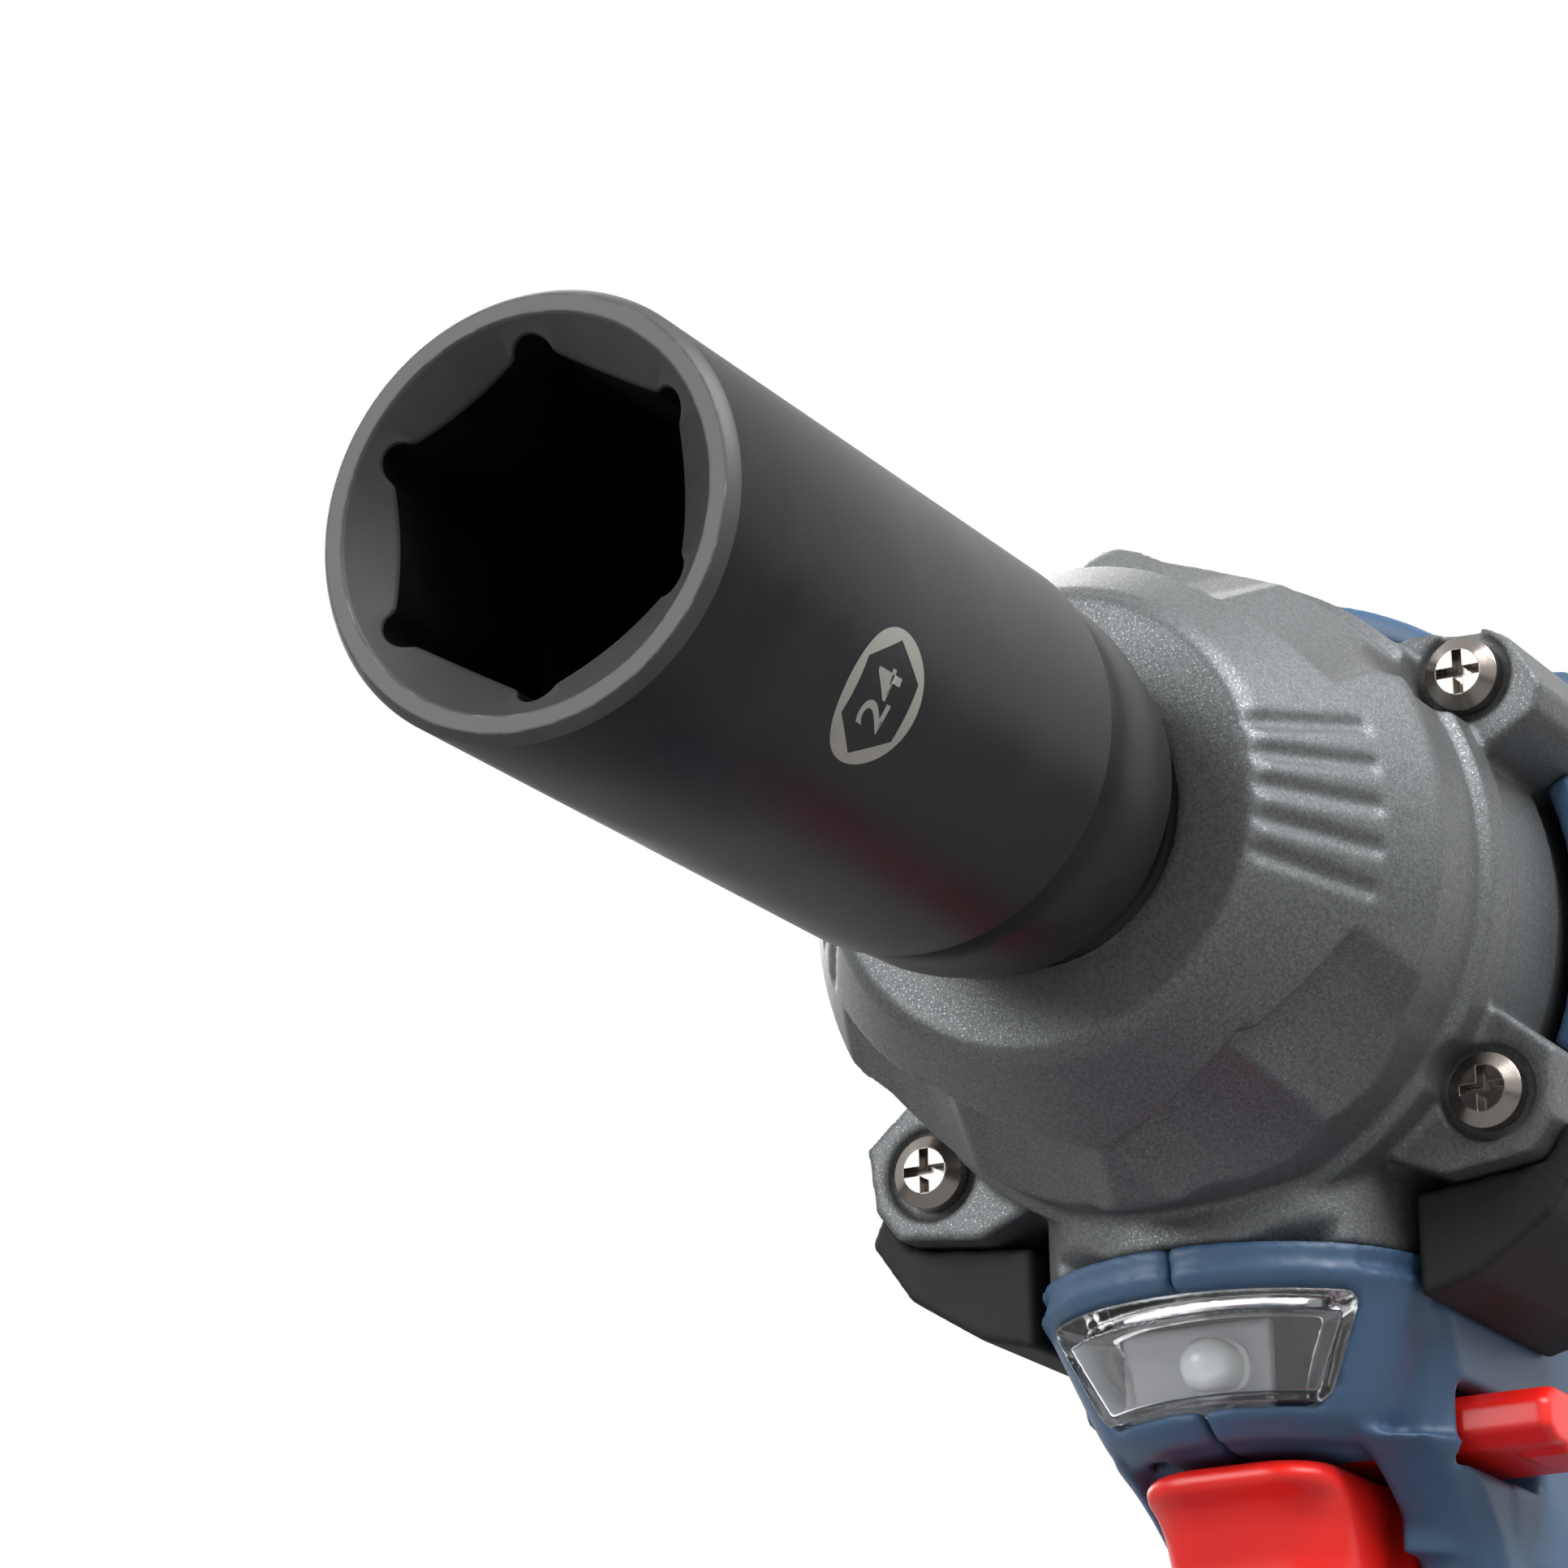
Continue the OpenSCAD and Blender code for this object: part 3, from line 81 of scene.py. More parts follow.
def around(x: float, reach: float, turn: float) -> Vector:
    """The point at a radius and an angle from straight up towards +Y about the drive axis."""
    return Vector((x, reach * math.sin(turn), AXIS_Z + reach * math.cos(turn)))


def smooth(value: float, low: float, high: float) -> float:
    """A smooth step from 0 at low to 1 at high."""
    share = min(1.0, max(0.0, (value - low) / (high - low)))
    return share * share * (3 - 2 * share)


def corners(
    x: Sequence[float], y: Sequence[float], z: Sequence[float]
) -> List[Tuple[float, float, float]]:
    """The eight corners of a box."""
    return [(px, py, pz) for px in x for py in y for pz in z]


# ---- Shader expressions ----


class Wire:
    """An output of a shader node. Python's operators on it add Math nodes."""

    def __init__(self, graph: "Graph", socket: bpy.types.NodeSocket) -> None:
        """Keeps the socket and the graph that it belongs to."""
        self.graph = graph
        self.socket = socket

    def port(self, name: str) -> "Wire":
        """Another output of the same node."""
        return Wire(self.graph, self.socket.node.outputs[name])

    def __add__(self, other: Value) -> "Wire":
        """Sum."""
        return self.graph.math("ADD", self, other)

    __radd__ = __add__

    def __mul__(self, other: Value) -> "Wire":
        """Product."""
        return self.graph.math("MULTIPLY", self, other)

    __rmul__ = __mul__

    def __sub__(self, other: Value) -> "Wire":
        """Difference."""
        return self.graph.math("SUBTRACT", self, other)

    def __rsub__(self, other: Value) -> "Wire":
        """Difference with the wire on the right."""
        return self.graph.math("SUBTRACT", other, self)

    def __pow__(self, other: Value) -> "Wire":
        """Power."""
        return self.graph.math("POWER", self, other)

    def ease(self, low: float, high: float) -> "Wire":
        """Nought below low, one above high and a smooth step between.

        Args:
            low: the value that becomes 0.
            high: the value that becomes 1.

        Returns:
            The stepped wire.
        """
        return self.graph.node(
            "MapRange",
            {"interpolation_type": "SMOOTHSTEP"},
            {"Value": self, "From Min": low, "From Max": high},
        )


class Graph:
    """A material's node tree, built from expressions."""

    def __init__(self, name: str) -> None:
        """Starts an empty material.

        Args:
            name: the material's name.
        """
        self.material = bpy.data.materials.new(name)
        self.material.use_nodes = True
        self.tree = self.material.node_tree
        self.tree.nodes.clear()

    @classmethod
    def of_world(cls, world: bpy.types.World) -> "Graph":
        """An empty graph over a world's node tree."""
        graph = cls.__new__(cls)
        world.use_nodes = True
        graph.tree = world.node_tree
        graph.tree.nodes.clear()
        return graph

    def node(
        self,
        kind: str,
        settings: Optional[Dict[str, Any]] = None,
        inputs: Optional[Dict[Union[str, int], Any]] = None,
    ) -> Wire:
        """Adds one node of any kind.

        Args:
            kind: the node's type without its ShaderNode prefix.
            settings: attributes, which are set first.
            inputs: values or wires by socket name or number.

        Returns:
            The node's first live output.
        """
        made = self.tree.nodes.new("ShaderNode" + kind)
        for key, value in (settings or {}).items():
            setattr(made, key, value)
        for key, value in (inputs or {}).items():
            socket = (
                made.inputs[key]
                if isinstance(key, int)
                else next(s for s in made.inputs if s.enabled and s.name == key)
            )
            if isinstance(value, Wire):
                self.tree.links.new(value.socket, socket)
            elif socket.type == "RGBA" and len(value) == 3:
                socket.default_value = (*value, 1.0)
            else:
                socket.default_value = value
        live = [s for s in made.outputs if s.enabled]
        return Wire(self, live[0]) if live else Wire(self, None)

    def math(self, operation: str, *values: Value) -> Wire:
        """One Math node on wires and numbers."""
        return self.node("Math", {"operation": operation}, dict(enumerate(values)))

    def vector(self, operation: str, *values: Value) -> Wire:
        """One Vector Math node on wires and vectors."""
        return self.node("VectorMath", {"operation": operation}, dict(enumerate(values)))

    def blend(self, mask: Value, low: Value, high: Value) -> Wire:
        """Mixes two colours by a mask."""
        return self.node(
            "Mix", {"data_type": "RGBA"}, {"Factor": mask, "A": low, "B": high}
        )

    def place(self, stretch: Colour = (1, 1, 1)) -> Wire:
        """The point on the surface, in metres, with each axis stretched."""
        here = self.node("TexCoord").port("Object")
        return here if stretch == (1, 1, 1) else self.vector("MULTIPLY", here, stretch)

    def noise(
        self, grain: float, detail: float = 2, stretch: Colour = (1, 1, 1)
    ) -> Wire:
        """Soft noise whose blobs are about one grain across.

        Args:
            grain: size of a blob in metres.
            detail: octaves.
            stretch: factor on each axis of the place.

        Returns:
            Noise about 0.5.
        """
        return self.node(
            "TexNoise",
            {"noise_dimensions": "3D"},
            {"Vector": self.place(stretch), "Scale": 1 / grain, "Detail": detail},
        )

    def cells(self, grain: float) -> Wire:
        """Distance to the nearest of cell centres that stand one grain apart."""
        return self.node(
            "TexVoronoi",
            {"feature": "F1"},
            {"Vector": self.place(), "Scale": 1 / grain},
        )

    def polar(self) -> Tuple[Wire, Wire]:
        """The place along the drive axis and the distance from it."""
        here = self.node("SeparateXYZ", None, {"Vector": self.place()})
        rise = here.port("Z") - AXIS_Z
        return here, (here.port("Y") ** 2 + rise**2) ** 0.5

    def turned(self, grain: float) -> Wire:
        """Noise that runs in rings about the drive axis, as a lathe tool leaves."""
        here, reach = self.polar()
        rings = self.node(
            "CombineXYZ", None, {"X": here, "Y": reach, "Z": reach * 0.02}
        )
        return self.node(
            "TexNoise",
            {"noise_dimensions": "3D"},
            {"Vector": rings, "Scale": 1 / grain, "Detail": 1},
        )

    def rounded(self, radius: float) -> Wire:
        """The surface's normal with its sharp edges rounded over a radius."""
        return self.node("Bevel", {"samples": 4}, {"Radius": radius})

    def edges(self, rounding: Wire) -> Wire:
        """A mask of the edges that a rounding softens."""
        straight = self.node("NewGeometry").port("Normal")
        match = self.vector("DOT_PRODUCT", rounding, straight).port("Value")
        return (1 - match).ease(0.01, 0.2)

    def relief(
        self, height: Wire, depth: float, under: Optional[Wire] = None
    ) -> Wire:
        """Bumps the surface.

        Args:
            height: the relief, from 0 to 1.
            depth: how deep 1 is, in metres.
            under: the normal that the relief lies on.

        Returns:
            The bumped normal.
        """
        inputs: Dict[Union[str, int], Any] = {"Height": height, "Distance": depth}
        if under is not None:
            inputs["Normal"] = under
        return self.node("Bump", None, inputs)

    def close(self, **sockets: Any) -> bpy.types.Material:
        """Ends the tree in a Principled surface.

        Args:
            sockets: values or wires by socket name with _ for a space.

        Returns:
            The finished material.
        """
        inputs = {key.replace("_", " "): value for key, value in sockets.items()}
        surface = self.node("BsdfPrincipled", None, inputs)
        self.node("OutputMaterial", None, {"Surface": surface})
        return self.material


# ---- Finishes ----


@dataclass(frozen=True)
class Moulded:
    """Hard plastic with a fine spark-eroded grain.

    Attributes:
        name: the material's name.
        tint: linear colour.
        gloss: roughness of the smooth parts.
        grain: size of the texture's grains.
        depth: depth of the grain.
        edge: radius of the moulded edges.
        rub: how much lighter a rubbed edge is.
    """

    name: str
    tint: Colour
    gloss: float = 0.5
    grain: float = 0.35 * MM
    depth: float = 0.02 * MM
    edge: float = 0.6 * MM
    rub: float = 0.25

    def material(self) -> bpy.types.Material:
        """The plastic's node material."""
        g = Graph(self.name)
        rounding = g.rounded(self.edge)
        rubbed = g.edges(rounding) * g.noise(6 * MM, 3).ease(0.35, 0.65) * self.rub
        mottle = g.noise(18 * MM, 4)
        dark = tone(self.tint, 0.86)
        pale = tone(self.tint, 1.35, 0.02)
        body = g.blend(mottle.ease(0.3, 0.7), dark, self.tint)
        grain = g.noise(self.grain, 2)
        return g.close(
            Base_Color=g.blend(rubbed, body, pale),
            Roughness=self.gloss + (mottle - 0.5) * 0.12 - rubbed * 0.3,
            Normal=g.relief(grain, self.depth, rounding),
        )


@dataclass(frozen=True)
class Rubber:
    """Soft black overmould with a matt, slightly dusty skin.

    Attributes:
        name: the material's name.
        tint: linear colour of the clean rubber.
        edge: radius of the moulded edges.
    """

    name: str
    tint: Colour
    edge: float = 0.5 * MM

    def material(self) -> bpy.types.Material:
        """The rubber's node material."""
        g = Graph(self.name)
        rounding = g.rounded(self.edge)
        worn = g.edges(rounding) * 0.5
        dust = g.noise(9 * MM, 5).ease(0.45, 0.8) * 0.35
        grey = tone(self.tint, 1, 0.02)
        skin = g.noise(0.22 * MM, 3) + g.cells(0.5 * MM) * 0.6
        return g.close(
            Base_Color=g.blend(dust + worn * 0.3, self.tint, grey),
            Roughness=0.72 + dust * 0.3 - worn * 0.25,
            Specular_IOR_Level=0.4,
            Normal=g.relief(skin, 0.03 * MM, rounding),
        )


@dataclass(frozen=True)
class CastPaint:
    """Die-cast metal under dark silver paint with a sandy sparkle.

    Attributes:
        name: the material's name.
        tint: the paint's linear colour.
        edge: radius of the cast edges.
    """

    name: str
    tint: Colour
    edge: float = 0.9 * MM

    def material(self) -> bpy.types.Material:
        """The paint's node material."""
        g = Graph(self.name)
        rounding = g.rounded(self.edge)
        edge = g.edges(rounding)
        flake = g.noise(0.2 * MM, 1)
        spark = flake.ease(0.58, 0.7)
        cloud = g.noise(14 * MM, 4)
        dark = tone(self.tint, 0.8)
        bright = tone(self.tint, 2.1, 0.05)
        bare = tone(self.tint, 2.6, 0.08)
        sand = g.noise(0.34 * MM, 2).ease(0.3, 0.7)
        pale = tone(self.tint, 1.45)
        body = g.blend(sand * 0.75, g.blend(cloud.ease(0.3, 0.7), dark, self.tint), pale)
        scuff = edge * g.noise(3 * MM, 4).ease(0.5, 0.62) * 0.8
        return g.close(
            Base_Color=g.blend(scuff, g.blend(spark * 0.45, body, bright), bare),
            Metallic=0.5 + spark * 0.15,
            Roughness=0.5 - spark * 0.16 + (cloud - 0.5) * 0.1,
            Normal=g.relief(flake + g.noise(0.6 * MM, 2) * 0.5, 0.022 * MM, rounding),
        )


@dataclass(frozen=True)
class Blacked:
    """Steel under black phosphate and oil, worn through along its edges.

    Attributes:
        name: the material's name.
        tint: colour of the black skin.
        gloss: roughness of the skin.
        bare: colour of the steel at worn edges.
        wear: share of the edges that are worn.
        sheen: specular level of the skin.
    """

    name: str
    tint: Colour
    gloss: float = 0.42
    bare: Colour = (0.22, 0.21, 0.2)
    wear: float = 0.6
    sheen: float = 0.5

    def material(self) -> bpy.types.Material:
        """The steel's node material."""
        g = Graph(self.name)
        rounding = g.rounded(0.3 * MM)
        worn = g.edges(rounding) * g.noise(2.2 * MM, 5).ease(0.48, 0.66) * self.wear
        crystals = g.noise(0.12 * MM, 3)
        oil = g.noise(11 * MM, 4)
        pale = tone(self.tint, 1.5, 0.004)
        skin = g.blend(oil.ease(0.35, 0.75), self.tint, pale)
        return g.close(
            Base_Color=g.blend(worn, skin, self.bare),
            Metallic=0.2 + worn * 0.7,
            Roughness=self.gloss + (oil - 0.5) * 0.2 + (crystals - 0.5) * 0.16,
            Specular_IOR_Level=self.sheen,
            Normal=g.relief(crystals + g.turned(0.3 * MM) * 0.4, 0.008 * MM, rounding),
        )


@dataclass(frozen=True)
class Machined:
    """Bright metal with the rings that turning leaves.

    Attributes:
        name: the material's name.
        tint: the metal's colour.
        gloss: roughness.
        stain: colour of oil and tarnish.
    """

    name: str
    tint: Colour
    gloss: float = 0.28
    stain: Colour = (0.2, 0.17, 0.13)

    def material(self) -> bpy.types.Material:
        """The metal's node material."""
        g = Graph(self.name)
        rounding = g.rounded(0.2 * MM)
        rings = g.turned(0.14 * MM)
        tarnish = g.noise(5 * MM, 5).ease(0.5, 0.85) * 0.4
        edge = g.edges(rounding) * 0.3
        light = tone(self.tint, 1.2)
        body = g.blend(edge, self.tint, light)
        return g.close(
            Base_Color=g.blend(tarnish, body, self.stain),
            Metallic=1.0,
            Roughness=self.gloss + tarnish * 0.4 + (rings - 0.5) * 0.14,
            Normal=g.relief(rings, 0.006 * MM, rounding),
        )


@dataclass(frozen=True)
class Laminated:
    """A stack of thin steel sheets along the drive axis.

    Attributes:
        name: the material's name.
        tint: the steel's linear colour.
        sheet: thickness of a sheet.
    """

    name: str
    tint: Colour
    sheet: float = 0.5 * MM

    def material(self) -> bpy.types.Material:
        """The stack's node material."""
        g = Graph(self.name)
        along = g.polar()[0]
        seam = g.math("FRACT", along * (1 / self.sheet)).ease(0.78, 0.95)
        rust = g.noise(2 * MM, 5).ease(0.52, 0.75) * 0.5
        dark = tone(self.tint, 0.35)
        return g.close(
            Base_Color=g.blend(rust, g.blend(seam, self.tint, dark), (0.16, 0.09, 0.05)),
            Metallic=0.85 - rust * 0.5,
            Roughness=0.42 + rust * 0.3 + seam * 0.2,
            Normal=g.relief(1 - seam, 0.05 * MM),
        )


@dataclass(frozen=True)
class Wound:
    """Enamelled copper wire laid side by side.

    Attributes:
        name: the material's name.
        tint: the enamel's linear colour.
        wire: distance between turns.
    """

    name: str
    tint: Colour
    wire: float = 0.8 * MM

    def material(self) -> bpy.types.Material:
        """The winding's node material, with painted shade in the grooves between turns."""
        g = Graph(self.name)
        reach = g.polar()[1]
        turn = g.math("SINE", reach * (math.tau / self.wire)) * 0.5 + 0.5
        patch = g.noise(3 * MM, 3)
        # dark is painted shade: the colour darkens in the grooves between turns, on top of their bump.
        dark = tone(self.tint, 0.45)
        return g.close(
            Base_Color=g.blend(turn * 0.7 + patch * 0.3, dark, self.tint),
            Metallic=0.75 + (patch - 0.5) * 0.1,
            Roughness=0.3 + (1 - turn) * 0.25,
            Coat_Weight=0.4,
            Normal=g.relief(turn, 0.2 * MM),
        )


@dataclass(frozen=True)
class Board:
    """A circuit board's lacquer over its copper tracks.

    Attributes:
        name: the material's name.
        tint: the lacquer's linear colour.
    """

    name: str
    tint: Colour

    def material(self) -> bpy.types.Material:
        """The board's node material."""
        g = Graph(self.name)
        tracks = g.node(
            "TexVoronoi",
            {"feature": "DISTANCE_TO_EDGE"},
            {"Vector": g.place(), "Scale": 1 / (2.6 * MM), "Randomness": 0.35},
        )
        copper = 1 - tracks.ease(0.05, 0.09)
        pads = 1 - g.cells(3.4 * MM).ease(0.12, 0.16)
        pale = tone(self.tint, 1.7, 0.01)
        tin = (0.5, 0.49, 0.46)
        return g.close(
            Base_Color=g.blend(pads, g.blend(copper, self.tint, pale), tin),
            Metallic=pads * 0.9,
            Roughness=0.32 + pads * 0.15,
            Normal=g.relief(copper + pads, 0.04 * MM),
        )


@dataclass(frozen=True)
class Clear:
    """Clear plastic with faint flow lines.

    Attributes:
        name: the material's name.
        tint: the plastic's linear colour.
    """

    name: str
    tint: Colour = (0.94, 0.96, 0.97)

    def material(self) -> bpy.types.Material:
        """The plastic's node material."""
        g = Graph(self.name)
        haze = g.noise(4 * MM, 3)
        return g.close(
            Base_Color=g.blend(haze, self.tint, (0.98, 0.98, 0.98)),
            Roughness=0.03 + haze.ease(0.5, 0.9) * 0.08,
            IOR=1.49,
            Transmission_Weight=1.0,
            Normal=g.relief(g.noise(2.5 * MM, 1), 0.02 * MM, g.rounded(0.35 * MM)),
        )


class Slot(Enum):
    """The record's material slots, each with its finish."""

    BLACK_STEEL = Blacked("black_steel", (0.0075, 0.0085, 0.0095), 0.4, sheen=0.3)
    DARK_STEEL = Blacked("dark_steel", (0.05, 0.05, 0.052), 0.36, (0.4, 0.38, 0.36))
    BRIGHT_STEEL = Machined("bright_steel", (0.46, 0.45, 0.43))
    GEAR_STEEL = Machined("gear_steel", (0.36, 0.35, 0.33), 0.34)
    SPRING_STEEL = Machined("spring_steel", (0.3, 0.3, 0.31), 0.36)
    SCREW_STEEL = Machined("screw_steel", (0.25, 0.225, 0.205), 0.24)
    BLACK_SCREW = Blacked("black_screw", (0.016, 0.016, 0.017), 0.38)
    HOOK_STEEL = Blacked("hook_steel", (0.03, 0.031, 0.033), 0.45)
    CASE_PAINT = CastPaint("case_paint", (0.098, 0.103, 0.106))
    CAST_ALLOY = CastPaint("cast_alloy", (0.38, 0.38, 0.39))
    BRONZE = Machined("bronze", (0.42, 0.26, 0.1), 0.4, (0.1, 0.06, 0.02))
    BRASS = Machined("brass", (0.6, 0.42, 0.16), 0.28)
    LAMINATION = Laminated("lamination", (0.3, 0.31, 0.33))
    COPPER_WIRE = Wound("copper_wire", (0.62, 0.2, 0.07))
    BLUE_PLASTIC = Moulded("blue_plastic", (0.046, 0.103, 0.19), 0.46)
    BLACK_PLASTIC = Moulded("black_plastic", (0.012, 0.012, 0.013), 0.46)
    PACK_PLASTIC = Moulded("pack_plastic", (0.014, 0.0145, 0.016), 0.52, depth=0.035 * MM)
    RED_PLASTIC = Moulded("red_plastic", (0.8, 0.014, 0.009), 0.32, 0.5 * MM, 0.008 * MM)
    BUTTON_GREY = Moulded("button_grey", (0.3, 0.3, 0.315), 0.45)
    WHITE_PLASTIC = Moulded("white_plastic", (0.66, 0.65, 0.6), 0.45)
    CLEAR_PLASTIC = Clear("clear_plastic")
    LAMP_WHITE = Moulded("lamp_white", (0.72, 0.62, 0.3), 0.25, depth=0.004 * MM)
    BOARD_GREEN = Board("board_green", (0.01, 0.07, 0.03))
    WIRE_RED = Moulded("wire_red", (0.5, 0.02, 0.02), 0.35, 0.6 * MM, 0.01 * MM)
    CELL_WRAP = Moulded("cell_wrap", (0.03, 0.22, 0.16), 0.25, 4 * MM, 0.02 * MM)
    RUBBER = Rubber("rubber", (0.0095, 0.0095, 0.01))


# The rim's lighter tint is partly painted light, for a face turned to the lamps, and partly its grainy
# ground finish.
RIM_STEEL_PAINTED_LIGHT = Blacked("rim_steel_painted_light", (0.038, 0.037, 0.037), 0.5, (0.3, 0.29, 0.28), 0.9)
LEAD_STEEL = Blacked("lead_steel", (0.022, 0.0215, 0.022), 0.6, (0.2, 0.19, 0.18), 0.8)
# The bore's near-black tint and weak reflection are painted shade deep inside the socket.
BORE_PAINTED_SHADE = Blacked("bore_painted_shade", (0.0015, 0.0015, 0.0015), 0.8, (0.01, 0.01, 0.01), 0.1, 0.05)
DOME_PLASTIC = Moulded("dome_plastic", (0.5, 0.51, 0.52), 0.1, depth=0.002 * MM)
ETCHED_MARK = Machined("etched_mark", (0.42, 0.41, 0.38), 0.6, (0.25, 0.24, 0.22))


class Finishes:
    """Makes each finish once and dresses pieces in it."""

    def __init__(self) -> None:
        """Starts with nothing made."""
        self._made: Dict[str, bpy.types.Material] = {}

    def of(self, finish: Any) -> bpy.types.Material:
        """The material of a finish, made on its first use."""
        if finish.name not in self._made:
            self._made[finish.name] = finish.material()
        return self._made[finish.name]

    def dress(self, piece: bpy.types.Object, finish: Any) -> None:
        """Gives a whole piece one finish."""
        material = self.of(finish)
        if not piece.material_slots:
            piece.data.materials.append(material)
        for slot in piece.material_slots:
            slot.material = material


# ---- Meshes ----


class Solid:
    """A closed mesh that is joined, cut, warped and moulded, and then made into a piece."""

    def __init__(self, mesh: bmesh.types.BMesh) -> None:
        """Takes over a mesh in the part's frame."""
        self.object = bpy.data.objects.new("work", bpy.data.meshes.new("work"))
        bpy.context.scene.collection.objects.link(self.object)
        mesh.to_mesh(self.object.data)
        mesh.free()

    @classmethod
    def copy_of(cls, node: str) -> "Solid":
        """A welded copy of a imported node."""
        mesh = bmesh.new()
        mesh.from_mesh(frame["nodes"][node].data)
        bmesh.ops.remove_doubles(mesh, verts=mesh.verts, dist=1e-6)
        return cls(mesh)

    @classmethod
    def rings(cls, rings: Sequence[Sequence[Vector]], closed: bool = False) -> "Solid":
        """A skin over rings of points, each with the same number of points.

        Args:
            rings: the rings in order.
            closed: whether the last ring joins the first; else both ends are capped.

        Returns:
            The solid.
        """
        mesh = bmesh.new()
        loops = [[mesh.verts.new(point) for point in ring] for ring in rings]
        pairs = list(zip(loops, loops[1:])) + ([(loops[-1], loops[0])] if closed else [])
        for low, high in pairs:
            for here, there in zip(range(-1, len(low) - 1), range(len(low))):
                mesh.faces.new((low[here], low[there], high[there], high[here]))
        if not closed:
            mesh.faces.new(loops[0])
            mesh.faces.new(loops[-1])
        bmesh.ops.recalc_face_normals(mesh, faces=mesh.faces)
        return cls(mesh)

    @classmethod
    def hull(cls, points: Iterable[Sequence[float]]) -> "Solid":
        """The tightest convex solid round some points."""
        mesh = bmesh.new()
        verts = [mesh.verts.new(point) for point in points]
        made = bmesh.ops.convex_hull(mesh, input=verts)
        spare = made["geom_interior"] + made["geom_unused"]
        loose = [item for item in spare if isinstance(item, bmesh.types.BMVert)]
        bmesh.ops.delete(mesh, geom=loose, context="VERTS")
        bmesh.ops.recalc_face_normals(mesh, faces=mesh.faces)
        return cls(mesh)

    @classmethod
    def rod(cls, start: Vector, end: Vector, radius: float) -> "Solid":
        """A round rod between two points."""
        way = (end - start).normalized()
        side = way.orthogonal().normalized()
        over = way.cross(side)
        turns = [math.tau * step / ROUND_STEPS for step in range(ROUND_STEPS)]
        rings = [
            [place + radius * (math.cos(a) * side + math.sin(a) * over) for a in turns]
            for place in (start, end)
        ]
        return cls.rings(rings)

    def _apply(self, kind: str, **settings: Any) -> "Solid":
        """Adds one modifier and bakes it into the mesh."""
        modifier = self.object.modifiers.new(kind.lower(), kind)
        for key, value in settings.items():
            setattr(modifier, key, value)
        shape = bpy.context.evaluated_depsgraph_get()
        baked = bpy.data.meshes.new_from_object(self.object.evaluated_get(shape))
        self.object.modifiers.clear()
        old, self.object.data = self.object.data, baked
        bpy.data.meshes.remove(old)
        return self

    def cut(self, *tools: "Solid") -> "Solid":
        """Takes other solids out of this one, and uses them up."""
        return self._combine("DIFFERENCE", tools)

    def join(self, *others: "Solid") -> "Solid":
        """Adds other solids to this one, and uses them up."""
        return self._combine("UNION", others)

    def _combine(self, operation: str, others: Sequence["Solid"]) -> "Solid":
        """Combines this solid with others, one after another."""
        for other in others:
            self._apply("BOOLEAN", operation=operation, solver="MANIFOLD", object=other.object)
            bpy.data.objects.remove(other.object)
        return self

    def warp(self, move: Callable[[Vector], Vector]) -> "Solid":
        """Moves each point to where a function of the point puts it."""
        for vertex in self.object.data.vertices:
            vertex.co = move(vertex.co.copy())
        return self

    def mould(self, grain: float, passes: int, share: float = 1.0) -> "Solid":
        """Rounds every edge and corner, as a mould leaves them.

        Args:
            grain: size of the cells that the shape is rebuilt from.
            passes: how often it is smoothed.
            share: share of the faces that is kept.

        Returns:
            The solid itself.
        """
        self._apply("REMESH", mode="VOXEL", voxel_size=grain, adaptivity=0.0)
        self._apply("SMOOTH", factor=0.5, iterations=passes)
        if share < 1:
            self._apply("DECIMATE", decimate_type="COLLAPSE", ratio=share)
        return self

    def piece(
        self,
        name: str,
        body: str,
        slot: "Slot",
        finishes: "Finishes",
        replaces: Sequence[str] = (),
        crease: float = 180,
    ) -> bpy.types.Object:
        """Makes the solid a finished piece.

        Args:
            name: the piece's name.
            body: the body that it rides on.
            slot: the material slot that it is finished in.
            finishes: the store of made finishes.
            replaces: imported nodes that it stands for.
            crease: angle in degrees above which an edge stays sharp; none does at 180.

        Returns:
            The piece's object.
        """
        piece = self.object
        piece.name = piece.data.name = name
        mesh = piece.data
        mesh.materials.clear()
        mesh.polygons.foreach_set("use_smooth", [True] * len(mesh.polygons))
        mesh.set_sharp_from_angle(angle=math.radians(crease))
        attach(piece, body)
        if replaces:
            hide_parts(*replaces)
        finishes.dress(piece, slot.value)
        log.info("%s: %d faces on %s", name, len(mesh.polygons), body)
        return piece


# ---- Sub-assemblies ----


